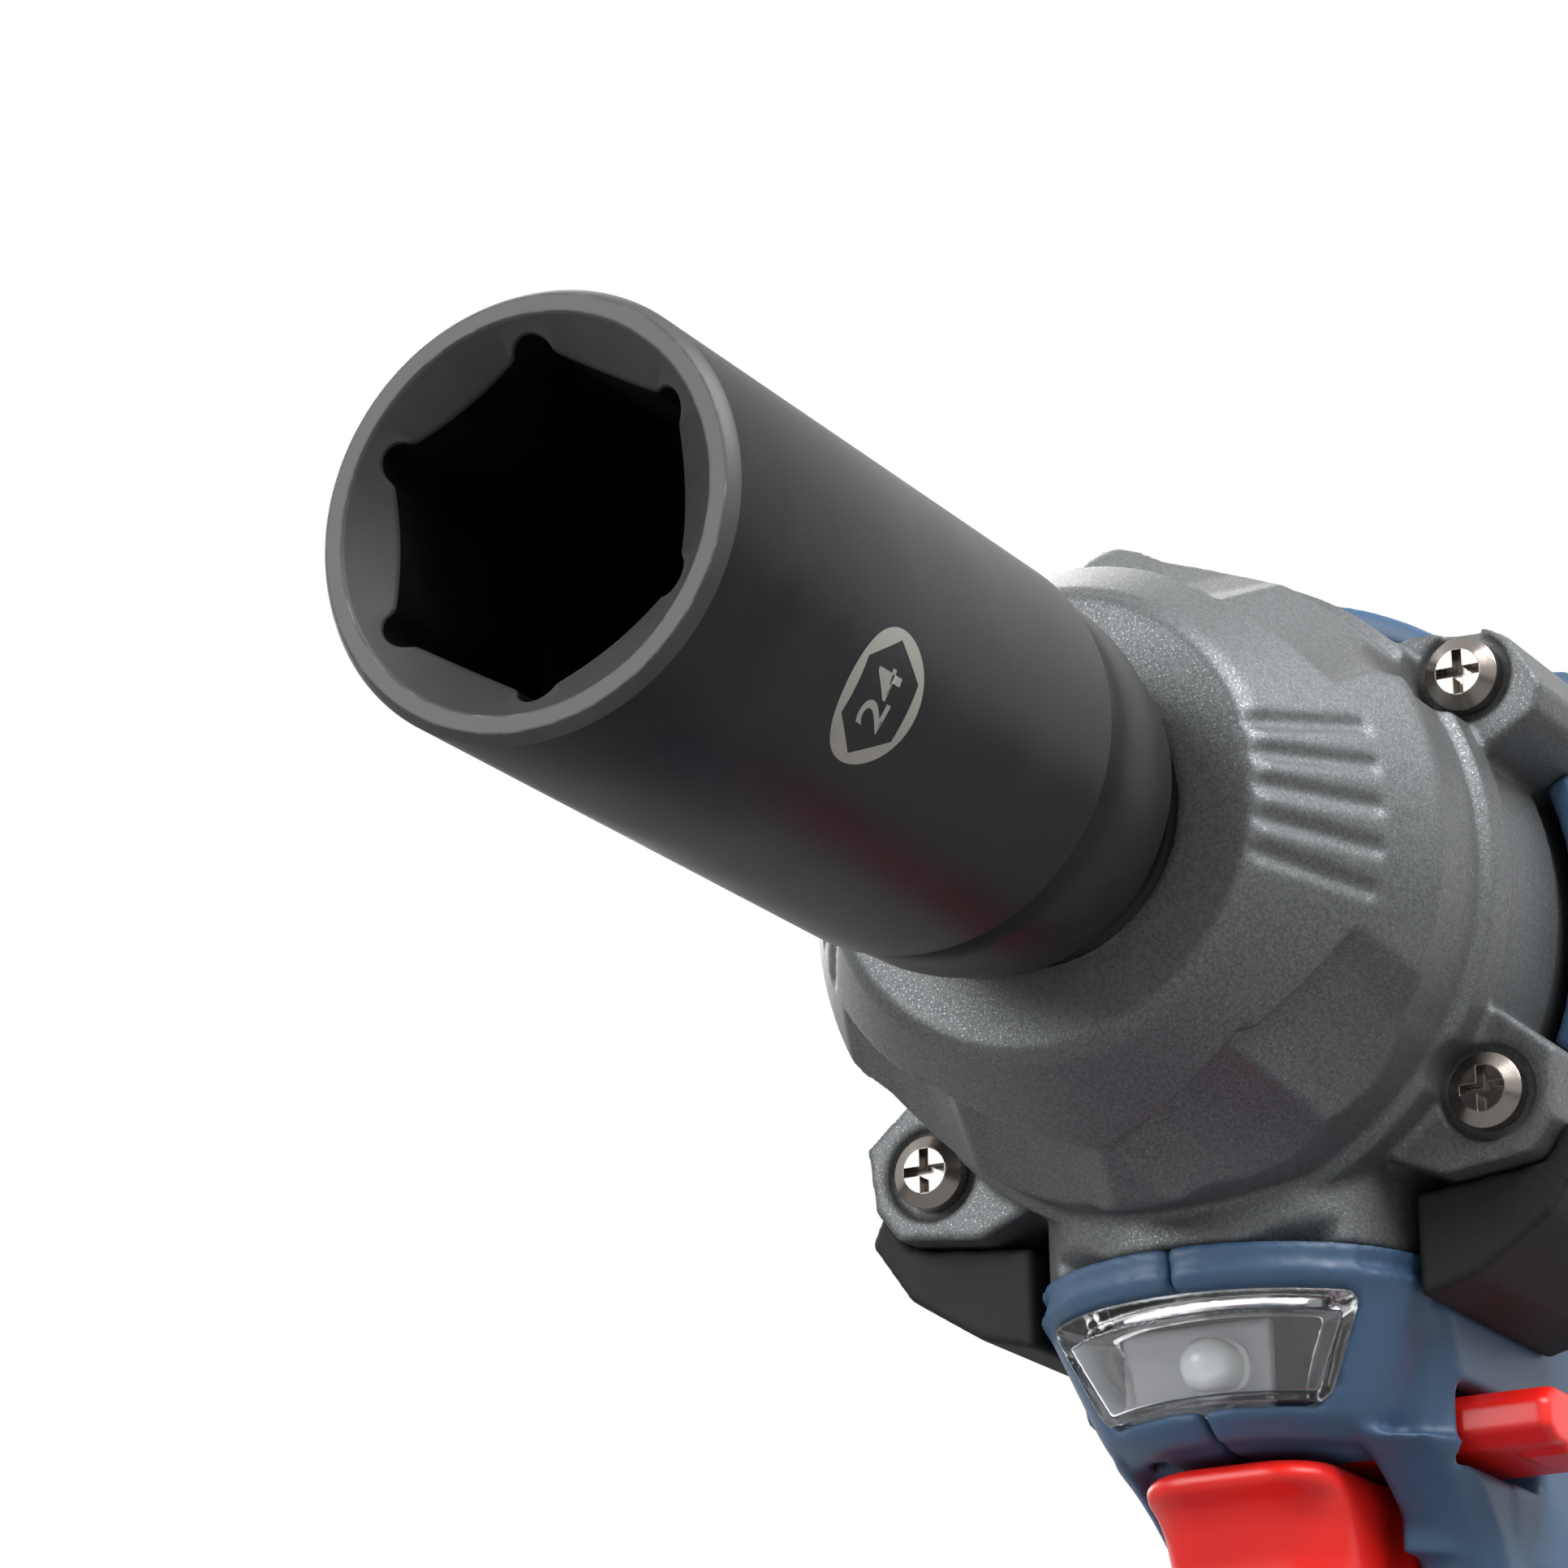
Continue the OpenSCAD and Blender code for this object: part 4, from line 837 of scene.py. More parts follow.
@dataclass
class HammerCase:
    """The die-cast front of the tool, with softened edges.

    Attributes:
        finishes: the store of made finishes.
        cell: size of the cells that the casting is rebuilt from.
        nose_x: the nose's front face.
        nose_r: its radius.
        shoulder_x: where the cone meets the body.
        shoulder_r: the radius there.
        flute_r: radius of a flute in the cone's sides.
        flute_step: angle between flutes in degrees.
        facet_r: radius of the hollows in its face.
        facets: each hollow's angle, lean and depth, in degrees and millimetres.
    """

    finishes: Finishes
    cell: float = 0.34 * MM
    nose_x: float = 62 * MM
    nose_r: float = 20.6 * MM
    shoulder_x: float = 44.3 * MM
    shoulder_r: float = 30.1 * MM
    flute_r: float = 1.15 * MM
    flute_step: float = 8
    facet_r: float = 26 * MM
    facets: Sequence[Tuple[float, float, float]] = (
        (18, 5, 0.45), (45, -5, 0.5), (132, 6, 0.25), (160, -7, 0.32),
    )

    def build(self) -> List[bpy.types.Object]:
        """Casts the case."""
        casting = Solid.copy_of("hammer_case")
        casting.cut(*self._flutes(), *self._facets())
        casting.mould(self.cell, 4, 0.4)
        return [
            casting.piece("case_casting", "housing", Slot.CASE_PAINT, self.finishes, ["hammer_case"])
        ]

    def _on_cone(self, along: float, angle: float, lift: float = 0) -> Vector:
        """A point on the cone.

        Args:
            along: 0 at the nose and 1 at the shoulder.
            angle: degrees round the drive axis from straight up towards +Y.
            lift: height over the cone.

        Returns:
            The point.
        """
        reach = self.nose_r + along * (self.shoulder_r - self.nose_r) + lift
        x = self.nose_x + along * (self.shoulder_x - self.nose_x)
        return around(x, reach, math.radians(angle))

    def _facets(self) -> List["Solid"]:
        """Broad shallow hollows down the cone, with a soft ridge between each pair."""
        facets = []
        for angle, lean, depth in self.facets:
            for side in (-1, 1):
                start = self._on_cone(-0.1, side * angle, self.facet_r + 0.2 * MM)
                end = self._on_cone(1.02, side * (angle + lean), self.facet_r - depth * MM)
                facets.append(Solid.rod(start, end, self.facet_r))
        return facets

    def _flutes(self) -> List["Solid"]:
        """Five grooves down each side of the cone."""
        left, right = 90, 270
        middles = [side + step * self.flute_step for side in (left, right) for step in range(-2, 3)]
        return [
            Solid.rod(
                self._on_cone(-0.1, middle, 0.55 * MM),
                self._on_cone(0.66, middle, 0.75 * MM),
                self.flute_r,
            )
            for middle in middles
        ]


@dataclass
class ImpactSocket:
    """The deep socket, turned from bar, with its size mark.

    Attributes:
        finishes: the store of made finishes.
        back: the rear end's x.
        face: the mouth's x.
        radius: the barrel's radius.
        flat: half the width across the hexagon's flats.
        square: half the width of the drive hole.
        bore: radius of the clearance bore.
        steps: points in each ring; a multiple of 12 and 8.
        rim_deep: how deep the rim's finish, partly painted light, reaches from the mouth.
        rim_wide: how far it reaches inwards from the barrel.
        bore_wide: how far the bore's painted shade reaches outwards from the flats.
        tail_deep: distance from the rear at which it ends.
        lead_deep: depth at which it starts.
        lead_wide: wall outside the lead-in's finish.
        mouth_deep: depth that the lead-in's finish reaches.
        relief_at: distance from the axis to the centre of each relieved corner.
        relief_r: radius of a relieved corner.
        mark_x: place of the size mark along the axis.
        mark_turn: its angle from straight up.
        mark_ring: outer radius of its ring.
        mark_flat: half the width across its hexagon's flats.
        mark_digits: height of its number.
    """

    finishes: Finishes
    back: float = 67.5 * MM
    face: float = 150 * MM
    radius: float = 17.5 * MM
    flat: float = 12 * MM
    square: float = 6.45 * MM
    bore: float = 11.6 * MM
    steps: int = 240
    rim_deep: float = 1.3 * MM
    rim_wide: float = 2.3 * MM
    bore_wide: float = 2.4 * MM
    tail_deep: float = 2 * MM
    lead_deep: float = 3.2 * MM
    lead_wide: float = 2.1 * MM
    mouth_deep: float = 8 * MM
    relief_at: float = 12.55 * MM
    relief_r: float = 1.75 * MM
    mark_x: float = 122 * MM
    mark_turn: float = math.radians(121)
    mark_ring: float = 5.6 * MM
    mark_flat: float = 4.15 * MM
    mark_digits: float = 5.2 * MM

    def build(self) -> List[bpy.types.Object]:
        """Turns the socket and marks its size."""
        socket = Solid.rings(self._rings(), closed=True)
        barrel = socket.piece(
            "socket_barrel", "socket", Slot.BLACK_STEEL, self.finishes, ["impact_socket"], 32
        )
        # The rim's finish is partly painted light and the bore's finish is painted shade.
        for finish in (RIM_STEEL_PAINTED_LIGHT, BORE_PAINTED_SHADE, LEAD_STEEL):
            barrel.data.materials.append(self.finishes.of(finish))
        for face in barrel.data.polygons:
            face.material_index = self._zone(face.center)
        return [barrel, self._mark()]

    def _zone(self, place: Vector) -> int:
        """Number of the finish at a place: 0 for the barrel, then the rim with partly painted light,
        the bore with painted shade, and the lead-in.
        """
        reach = math.hypot(place.y, place.z - AXIS_Z)
        depth = self.face - place.x
        if depth < self.rim_deep and reach > self.radius - self.rim_wide:
            return 1
        inside = reach < self.flat + self.bore_wide
        if inside and depth > self.lead_deep and place.x > self.back + self.tail_deep:
            return 2
        if depth < self.mouth_deep and reach < self.radius - self.lead_wide:
            return 3
        return 0

    def _ring(self, x: Length, reach: Length) -> List[Vector]:
        """One ring, whose radius may change with the angle and its place with the radius."""
        ring = []
        for step in range(self.steps):
            angle = math.tau * step / self.steps
            r = reach(angle) if callable(reach) else reach
            ring.append(around(x(r) if callable(x) else x, r, angle))
        return ring

    @staticmethod
    def _side(flat: float, angle: float) -> Tuple[float, float]:
        """The angle from a hexagon's nearest corner, and its radius there.

        Args:
            flat: half the width across its flats.
            angle: the angle round its middle.

        Returns:
            The angle and the radius.
        """
        off = (angle + math.pi / 6) % (math.pi / 3) - math.pi / 6
        return off, flat / math.cos(math.pi / 6 - abs(off))

    def _hexagon(self, angle: float) -> float:
        """Radius of the hexagon with its relieved corners."""
        off, flat = self._side(self.flat, angle)
        aside = self.relief_at * math.sin(off)
        if abs(aside) >= self.relief_r:
            return flat
        return max(flat, self.relief_at * math.cos(off) + math.sqrt(self.relief_r**2 - aside**2))

    def _drive(self, angle: float) -> float:
        """Radius of the square hole with rounded corners."""
        off = (angle + math.pi / 4) % (math.pi / 2) - math.pi / 4
        return min(self.square / math.cos(off), self.square * 1.36)

    def _rings(self) -> List[List[Vector]]:
        """Every ring of the socket, from the rear's rim forwards and back through the bore."""
        back, face, r = self.back, self.face, self.radius
        # Distance from the rear or the mouth, and depth under the barrel's radius, in millimetres.
        tail = (
            (0, 3.1), (0.35, 2.5), (1.2, 1.95), (4, 1.45), (5.4, 1.05), (7.4, 0.75), (10, 0.65),
            (12.4, 0.75), (13.8, 1.05), (14.5, 1.55), (15, 1.75), (16.2, 1.75), (16.7, 1.4),
            (17.1, 0.35), (17.5, 0),
        )
        mouth = ((30, 0), (1.15, 0), (0.95, 0.08), (0.2, 0.5), (0, 0.7), (0, 2.0), (0.2, 2.2))
        outside = [(back + x * MM, r - cut * MM) for x, cut in tail]
        outside += [(face - x * MM, r - cut * MM) for x, cut in mouth]
        lead_r = r - 2.2 * MM

        def lead(reach: float) -> float:
            """Where the sloping lead-in is at a radius."""
            return face - 0.2 * MM - (lead_r - reach) * 0.7

        inside = [
            (lead, lambda a: lead_r + 0.92 * (self._hexagon(a) - lead_r)),
            (lambda reach: lead(reach) - 0.25 * MM, self._hexagon),
            (face - 24 * MM, self._hexagon),
            (face - 24.6 * MM, self.bore),
            (back + 25.6 * MM, self.bore),
            (back + 25 * MM, lambda a: self._drive(a) + 0.4 * MM),
            (back + 24.8 * MM, self._drive),
            (back + 0.7 * MM, self._drive),
            (back, lambda a: self._drive(a) + 0.7 * MM),
        ]
        return [self._ring(x, reach) for x, reach in outside + inside]

    def _mark(self) -> bpy.types.Object:
        """A hexagon in a ring round the size in millimetres, etched on the barrel."""
        mesh = bmesh.new()
        steps = 96
        rims = [[], []]
        for step in range(steps):
            angle = math.tau * step / steps
            for rim, reach in zip(rims, (self._side(self.mark_flat, angle)[1], self.mark_ring)):
                rim.append(mesh.verts.new((reach * math.cos(angle), reach * math.sin(angle), 0)))
        for here in range(steps):
            there = (here + 1) % steps
            mesh.faces.new((rims[0][here], rims[0][there], rims[1][there], rims[1][here]))
        bmesh.ops.subdivide_edges(mesh, edges=mesh.edges, cuts=2, use_grid_fill=True)
        ring = bpy.data.objects.new("size_mark", bpy.data.meshes.new("size_mark"))
        mesh.to_mesh(ring.data)
        mesh.free()
        bpy.context.scene.collection.objects.link(ring)
        digits = self._digits()
        whole = bmesh.new()
        whole.from_mesh(ring.data)
        whole.from_mesh(digits)
        for vertex in whole.verts:
            vertex.co = self._wrap(vertex.co.x, vertex.co.y)
        bmesh.ops.recalc_face_normals(whole, faces=whole.faces)
        whole.to_mesh(ring.data)
        whole.free()
        bpy.data.meshes.remove(digits)
        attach(ring, "socket")
        self.finishes.dress(ring, ETCHED_MARK)
        return ring

    def _digits(self) -> bpy.types.Mesh:
        """The size number as a flat mesh about the origin."""
        words = bpy.data.curves.new("size", "FONT")
        words.body = f"{round(2 * self.flat / MM)}"
        words.size = self.mark_digits
        words.align_x, words.align_y = "CENTER", "CENTER"
        words.offset = 0.08 * MM
        holder = bpy.data.objects.new("size", words)
        bpy.context.scene.collection.objects.link(holder)
        shape = bpy.context.evaluated_depsgraph_get()
        flat = bpy.data.meshes.new_from_object(holder.evaluated_get(shape))
        bpy.data.objects.remove(holder)
        mesh = bmesh.new()
        mesh.from_mesh(flat)
        bmesh.ops.triangulate(mesh, faces=mesh.faces)
        bmesh.ops.subdivide_edges(mesh, edges=mesh.edges, cuts=2)
        mesh.to_mesh(flat)
        mesh.free()
        return flat

    def _wrap(self, across: float, up: float) -> Vector:
        """Where a point of the flat mark lies on the barrel."""
        turn = self.mark_turn - across / self.radius
        return around(self.mark_x + up, self.radius + 0.015 * MM, turn)


@dataclass
class Trigger:
    """The variable-speed trigger, a soft concave paddle.

    Attributes:
        finishes: the store of made finishes.
        back: the rear face's x.
        half: half the width of the part inside the handle.
        waist: half the width of the part in front of it.
        top: its top's z.
        rises: depth under the top, front face's x and how far the sides draw in, from the top down,
            in millimetres.
        step_x: where the sides step in.
        corner_r: radius of its front corners.
        corner_steps: steps in each of them.
    """

    finishes: Finishes
    back: float = 3 * MM
    half: float = 10.4 * MM
    waist: float = 9.1 * MM
    top: float = 145.2 * MM
    rises: Sequence[Tuple[float, float, float]] = (
        (0.0, 26.6, 1.2), (0.5, 28.0, 0.5), (1.4, 28.6, 0.1), (2.2, 28.2, 0.0), (3.4, 26.2, 0.1),
        (5.0, 24.9, 0.2), (8.0, 23.8, 0.3), (13.0, 23.2, 0.4), (18.0, 23.6, 0.4), (24.0, 25.6, 0.3),
        (28.5, 28.2, 0.1), (31.6, 29.6, 0.2), (33.2, 28.8, 0.8), (33.9, 26.6, 2.2),
    )
    step_x: Tuple[float, float] = (8.4 * MM, 9.6 * MM)
    corner_r: float = 5.2 * MM
    corner_steps: int = 14

    def build(self) -> List[bpy.types.Object]:
        """Lofts the paddle."""
        paddle = Solid.rings([self._section(*rise) for rise in self.rises])
        paddle.mould(0.42 * MM, 5, 0.5)
        return [
            paddle.piece("trigger_paddle", "trigger", Slot.RED_PLASTIC, self.finishes, ["trigger"])
        ]

    def _section(self, drop: float, front: float, draw: float) -> List[Vector]:
        """One level outline: wide and square behind, narrower and rounded in front."""
        waist = self.waist - draw * MM
        tip, curve, points = front * MM, self.corner_r, self.corner_steps
        z = self.top - drop * MM
        outline = [(self.back, -self.half), (self.step_x[0], -self.half), (self.step_x[1], -waist)]
        for step in range(points + 1):
            a = math.pi / 2 * step / points
            outline.append((tip - curve * (1 - math.sin(a)), -waist + curve * (1 - math.cos(a))))
        outline += [(x, -y) for x, y in reversed(outline)]
        return [Vector((x, y, z)) for x, y in outline]


@dataclass
class Selector:
    """The push-through direction bar, with a low fin under each end.

    Attributes:
        finishes: the store of made finishes.
        x: the rear and front of the bar.
        z: the foot and top of the bar.
        ends: its right and left ends.
        chamfer: length over which each end narrows.
        draw: share that the ends shrink by.
        fin_long: how long each fin is along the bar.
        fin_in: distance of the fins from the bar's front and rear.
    """

    finishes: Finishes
    x: Tuple[float, float] = (-1.7 * MM, 15.9 * MM)
    z: Tuple[float, float] = (146.1 * MM, 151.6 * MM)
    ends: Tuple[float, float] = (-13 * MM, 26 * MM)
    chamfer: float = 0.7 * MM
    draw: float = 0.072
    fin_long: float = 5 * MM
    fin_in: float = 5 * MM

    def build(self) -> List[bpy.types.Object]:
        """Moulds the bar and its two fins."""
        (right, left), middle = self.ends, sum(self.z) / 2
        bar = Solid.rings(
            [
                self._section(right, 1 - self.draw),
                self._section(right + self.chamfer, 1),
                self._section(left - self.chamfer, 1),
                self._section(left, 1 - self.draw),
            ]
        )
        fin_x = (self.x[0] + self.fin_in, self.x[1] - self.fin_in)
        fin_z = (self.z[0] - 0.1 * MM, middle)
        for low, high in ((right, right + self.fin_long), (left - self.fin_long, left)):
            bar.join(Solid.hull(corners(fin_x, (low + 0.4 * MM, high), fin_z)))
        bar.mould(0.3 * MM, 4, 0.5)
        return [bar.piece("selector_bar", "selector", Slot.RED_PLASTIC, self.finishes, ["selector"])]

    def _section(self, y: float, scale: float) -> List[Vector]:
        """The bar's seven-cornered section at one place.

        Args:
            y: the place.
            scale: its size against the full section.

        Returns:
            The section's corners.
        """
        (back, front), (foot, top), middle = self.x, self.z, sum(self.z) / 2
        nose, heel, half_nose = front - 2.2 * MM, back + 1.4 * MM, 1.2 * MM
        profile = (
            (heel, top), (nose, top), (front, middle + half_nose), (front, middle - half_nose),
            (nose, foot + 0.4 * MM), (heel, foot + 0.4 * MM), (back, middle),
        )
        centre = Vector(((back + front) / 2, y, middle))
        return [centre + (Vector((x, y, z)) - centre) * scale for x, z in profile]


@dataclass
class Chin:
    """The neck's rounded front, which draws in towards its foot.

    Attributes:
        top: z of its upper edge.
        low: z of its underside.
        taper_top: z where it starts to draw in.
        taper: share that it narrows by for each millimetre below that.
        centre_x: centre of its round front.
        radius: radius of its round front.
        pivot_x: the line that it draws in towards.
        round_r: radius of its lower edge.
        lip: how far its upper lip stands out.
        lip_z: the lip's lower edge.
        hold_y: half the trigger's room, which stays as it is.
        draw: share that the shoulders outside it draw in by.
        draw_x: where that starts and where it is full.
        draw_low: heights between which it grows, over the grip.
        draw_left: heights between which it fades on the left.
        draw_right: the same on the right, where the selector's end lies deeper.
        under: how far below its underside the shape still changes.
        over: how far above its upper edge.
        blend: distances in front of the pivot line where the change starts and where it is full.
        swell: how much its front widens towards its foot.
    """

    top: float = 162.4 * MM
    low: float = 146 * MM
    taper_top: float = 159.5 * MM
    taper: float = 0.0215 / MM
    centre_x: float = 19.8 * MM
    radius: float = 18.5 * MM
    pivot_x: float = 14 * MM
    round_r: float = 3.2 * MM
    lip: float = 0.45 * MM
    lip_z: float = 159.6 * MM
    hold_y: float = 10.9 * MM
    draw: float = 0.78
    draw_x: Tuple[float, float] = (-10 * MM, 12 * MM)
    draw_low: Tuple[float, float] = (131 * MM, 138 * MM)
    draw_left: Tuple[float, float] = (134 * MM, 140 * MM)
    draw_right: Tuple[float, float] = (147 * MM, 153 * MM)
    under: float = 9 * MM
    over: float = 0.02 * MM
    blend: Tuple[float, float] = (1.5 * MM, 12 * MM)
    swell: float = 0.6

    def scale(self, z: float) -> float:
        """How much the plan shrinks at a height."""
        share = 1 - self.taper * max(0.0, self.taper_top - z)
        rise = max(0.0, z - self.low)
        if rise < self.round_r:
            cut = self.round_r - math.sqrt(self.round_r**2 - (self.round_r - rise) ** 2)
            share -= cut / self.radius
        return share + self.lip / self.radius * smooth(z, self.lip_z, self.lip_z + 0.4 * MM)

    def shape(self, point: Vector) -> Vector:
        """Where a point of the straight neck goes."""
        x, y, z = point
        share = smooth(x, *self.draw_x) * smooth(z, *self.draw_low)
        share *= 1 - smooth(z, *(self.draw_left if y > 0 else self.draw_right))
        if abs(y) > self.hold_y and share > 0:
            y = math.copysign(self.hold_y + (abs(y) - self.hold_y) * (1 - self.draw * share), y)
        if not (self.low - self.under < z < self.top + self.over) or x < self.pivot_x:
            return Vector((x, y, z))
        start, full = (self.pivot_x + ahead for ahead in self.blend)
        scale = 1 - (1 - self.scale(z)) * smooth(x, start, full)
        turn = math.atan2(y, max(x - self.centre_x, 1e-6))
        if x > self.centre_x and self.low < z < self.taper_top:
            fall = (self.taper_top - z) / (self.top - self.low)
            spread = turn * (1 + self.swell * fall * (1 - (turn / (math.pi / 2)) ** 2))
            reach = math.hypot(x - self.centre_x, y)
            x, y = self.centre_x + reach * math.cos(spread), reach * math.sin(spread)
        return Vector((self.pivot_x + (x - self.pivot_x) * scale, y * scale, z))

    def surface(self, turn: float, z: float, lift: float) -> Vector:
        """A point over the chin's round front."""
        scale = self.scale(z)
        middle = self.pivot_x + (self.centre_x - self.pivot_x) * scale
        reach = self.radius * scale + lift
        return Vector((middle + reach * math.cos(turn), reach * math.sin(turn), z))


@dataclass
class Body:
    """The moulded clamshell, the lamp in its chin and the rubber on its handle.

    Attributes:
        finishes: the store of made finishes.
        chin: the neck's rounded front.
        lens_z: lowest and highest z of the lens.
        lens_half: half the angle that the lens wraps round.
        led: the lamp's place.
        grain: size of the cells that the shells are rebuilt from.
        lens_slant: share that the lens narrows by from its top to its foot.
        lens_corner: radius of its corners.
        barrel_r: the barrel's radius.
        panel_turn: angles from straight up where the side panel starts and ends.
        panel_x: its rear and front.
        panel_corner: how far its corners are cut off.
        groove_count: number of grooves in the rubber.
        groove_pitch: distance between them.
        groove_z: height of the lowest.
        skin_turn: how far round the chin's skin reaches from the seam.
        skin_z: its lowest and highest z.
        skin_wall: its thickness.
        cheek_x: front of the cheek at its foot and at its top.
        cheek_in: its inner y.
        cheek_out: its outer y on the left and on the right.
        cheek_z: its lowest and highest z.
    """

    finishes: Finishes
    chin: Chin = field(default_factory=Chin)
    lens_z: Tuple[float, float] = (149.2 * MM, 158.3 * MM)
    lens_half: float = math.radians(55)
    led: Vector = field(default_factory=lambda: Vector((26.8 * MM, 0, 153.6 * MM)))
    grain: float = 0.48 * MM
    lens_slant: float = 0.14
    lens_corner: float = 1.7 * MM
    barrel_r: float = 33.5 * MM
    panel_turn: Tuple[float, float] = (math.radians(72), math.radians(113))
    panel_x: Tuple[float, float] = (-34 * MM, 11 * MM)
    panel_corner: float = 3 * MM
    groove_count: int = 9
    groove_pitch: float = 4.4 * MM
    groove_z: float = 98 * MM
    skin_turn: float = math.radians(84)
    skin_z: Tuple[float, float] = (146.6 * MM, 160 * MM)
    skin_wall: float = 2.4 * MM
    cheek_x: Tuple[float, float] = (9 * MM, 25 * MM)
    cheek_in: float = 10.9 * MM
    cheek_out: Tuple[float, float] = (18.3 * MM, 13.6 * MM)
    cheek_z: Tuple[float, float] = (132 * MM, 147.2 * MM)

    def build(self) -> List[bpy.types.Object]:
        """Moulds both halves, the rubber and the lamp."""
        made = []
        for name, side in (("left", 1), ("right", -1)):
            made += [self._shell(name, side), self._side_panel(name, side), self._rubber(name, side)]
        return made + self._lamp()

    def _shell(self, name: str, side: int) -> bpy.types.Object:
        """One half of the clamshell; side is 1 for the left and -1 for the right."""
        shell = Solid.copy_of(f"housing_{name}").warp(self.chin.shape).mould(self.grain, 1)
        shell.join(*self._fillers(side))
        shell.cut(
            self._window(0.12 * MM, -7.5 * MM, 3 * MM),
            self._selector_room(),
            self._panel(side, 0.15 * MM, -0.9 * MM, 2 * MM),
        )
        shell.mould(self.grain, 5, 0.4)
        return shell.piece(
            f"shell_{name}", "housing", Slot.BLUE_PLASTIC, self.finishes, [f"housing_{name}"]
        )

    def _side_panel(self, name: str, side: int) -> bpy.types.Object:
        """The black panel in one half's pocket, with its gap lines."""
        panel = self._panel(side, 0, -0.8 * MM, -0.25 * MM).cut(*self._panel_lines(side))
        panel.mould(0.3 * MM, 2, 0.4)
        return panel.piece(f"side_panel_{name}", "housing", Slot.BLACK_PLASTIC, self.finishes)

    def _rubber(self, name: str, side: int) -> bpy.types.Object:
        """The rubber on one half, with its grooves."""
        grip = Solid.copy_of(f"grip_{name}").mould(0.4 * MM, 1)
        grip.cut(*self._grooves(side)).mould(0.4 * MM, 3, 0.4)
        return grip.piece(f"rubber_{name}", "housing", Slot.RUBBER, self.finishes, [f"grip_{name}"])

    def _fillers(self, side: int) -> List[Solid]:
        """The chin's skin on one side, and the cheek that runs down beside the trigger.

        Args:
            side: 1 for the left and -1 for the right.

        Returns:
            The two solids.
        """
        seam, steps, levels = 0.012, 20, 8
        low, high = self.skin_z
        rise = [low + (high - low) * level / levels for level in range(levels + 1)]
        skin = []
        for step in range(steps + 1):
            turn = seam + (self.skin_turn - seam) * step / steps
            outer = [self.chin.surface(side * turn, z, 0) for z in rise]
            inner = [self.chin.surface(side * turn, z, -self.skin_wall) for z in reversed(rise)]
            skin.append(outer + inner)
        cheek = [self._cheek(side, level / levels) for level in range(levels + 1)]
        return [Solid.rings(skin), Solid.rings(cheek)]

    def _cheek(self, side: int, drop: float) -> List[Vector]:
        """One level outline of the cheek.

        Args:
            side: 1 for the left and -1 for the right.
            drop: 0 at its top and 1 at its foot.

        Returns:
            The outline.
        """
        low, high = self.cheek_z
        foot_x, top_x = self.cheek_x
        inside = self.cheek_in
        outside = self.cheek_out[0 if side > 0 else 1] - drop * 1.2 * MM
        back = foot_x - 12 * MM
        front = top_x - (top_x - foot_x) * math.sin(drop * math.pi / 2) ** 0.8
        outline = (
            (back, inside), (front - 1.6 * MM, inside), (front, inside + 0.5 * MM),
            (front - 0.8 * MM, inside + 0.4 * (outside - inside)),
            (front - 3 * MM, inside + 0.8 * (outside - inside)),
            (front - 6 * MM, outside), (back, outside),
        )
        return [Vector((x, side * y, high - drop * (high - low))) for x, y in outline]

    def _panel(self, side: int, grow: float, near: float, far: float) -> Solid:
        """A curved slab of the side panel's outline on the barrel.

        Args:
            side: 1 for the left and -1 for the right.
            grow: how far the outline is moved outwards.
            near: lift of its inner face over the barrel.
            far: lift of its outer face.

        Returns:
            The slab.
        """
        steps = 24
        start = self.panel_turn[0] - grow / self.barrel_r
        end = self.panel_turn[1] + grow / self.barrel_r
        rings = []
        for step in range(steps + 1):
            turn = start + (end - start) * step / steps
            edge = min(turn - start, end - turn) * self.barrel_r
            drawn = max(0.0, self.panel_corner - edge)
            back = self.panel_x[0] - grow + drawn
            front = self.panel_x[1] + grow - drawn
            outline = ((back, near), (front, near), (front, far), (back, far))
            rings.append([around(x, self.barrel_r + lift, side * turn) for x, lift in outline])
        return Solid.rings(rings)

    def _panel_lines(self, side: int) -> List[Solid]:
        """Three gap lines round the side panel."""
        start, end = self.panel_turn
        beyond, lean, radius = 0.1, 6 * MM, 0.62 * MM
        lines = []
        for number in range(3):
            x = self.panel_x[1] - (9 + 11 * number) * MM
            top, middle, foot = (
                around(x - (turn - start) * lean, self.barrel_r, side * turn)
                for turn in (start - beyond, (start + end) / 2, end + beyond)
            )
            lines += [Solid.rod(top, middle, radius), Solid.rod(middle, foot, radius)]
        return lines

    def _grooves(self, side: int) -> List[Solid]:
        """Slanting finger grooves across one half of the rubber."""
        y, half, rise, radius = side * 17.35 * MM, 13 * MM, 2 * MM, 0.85 * MM
        grooves = []
        for number in range(self.groove_count):
            z = self.groove_z + number * self.groove_pitch
            x = -11 * MM - (z - 143 * MM) * math.tan(math.radians(-8))
            back, front = Vector((x - half, y, z - rise)), Vector((x + half, y, z + rise))
            grooves.append(Solid.rod(back, front, radius))
        return grooves

    def _selector_room(self) -> Solid:
        """The slot that the selector slides through."""
        low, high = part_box("selector")
        gap, reach = 0.45 * MM, 40 * MM
        return Solid.hull(
            corners((low[0] - gap, high[0] + gap), (-reach, reach), (low[2] - gap, high[2] + gap))
        )

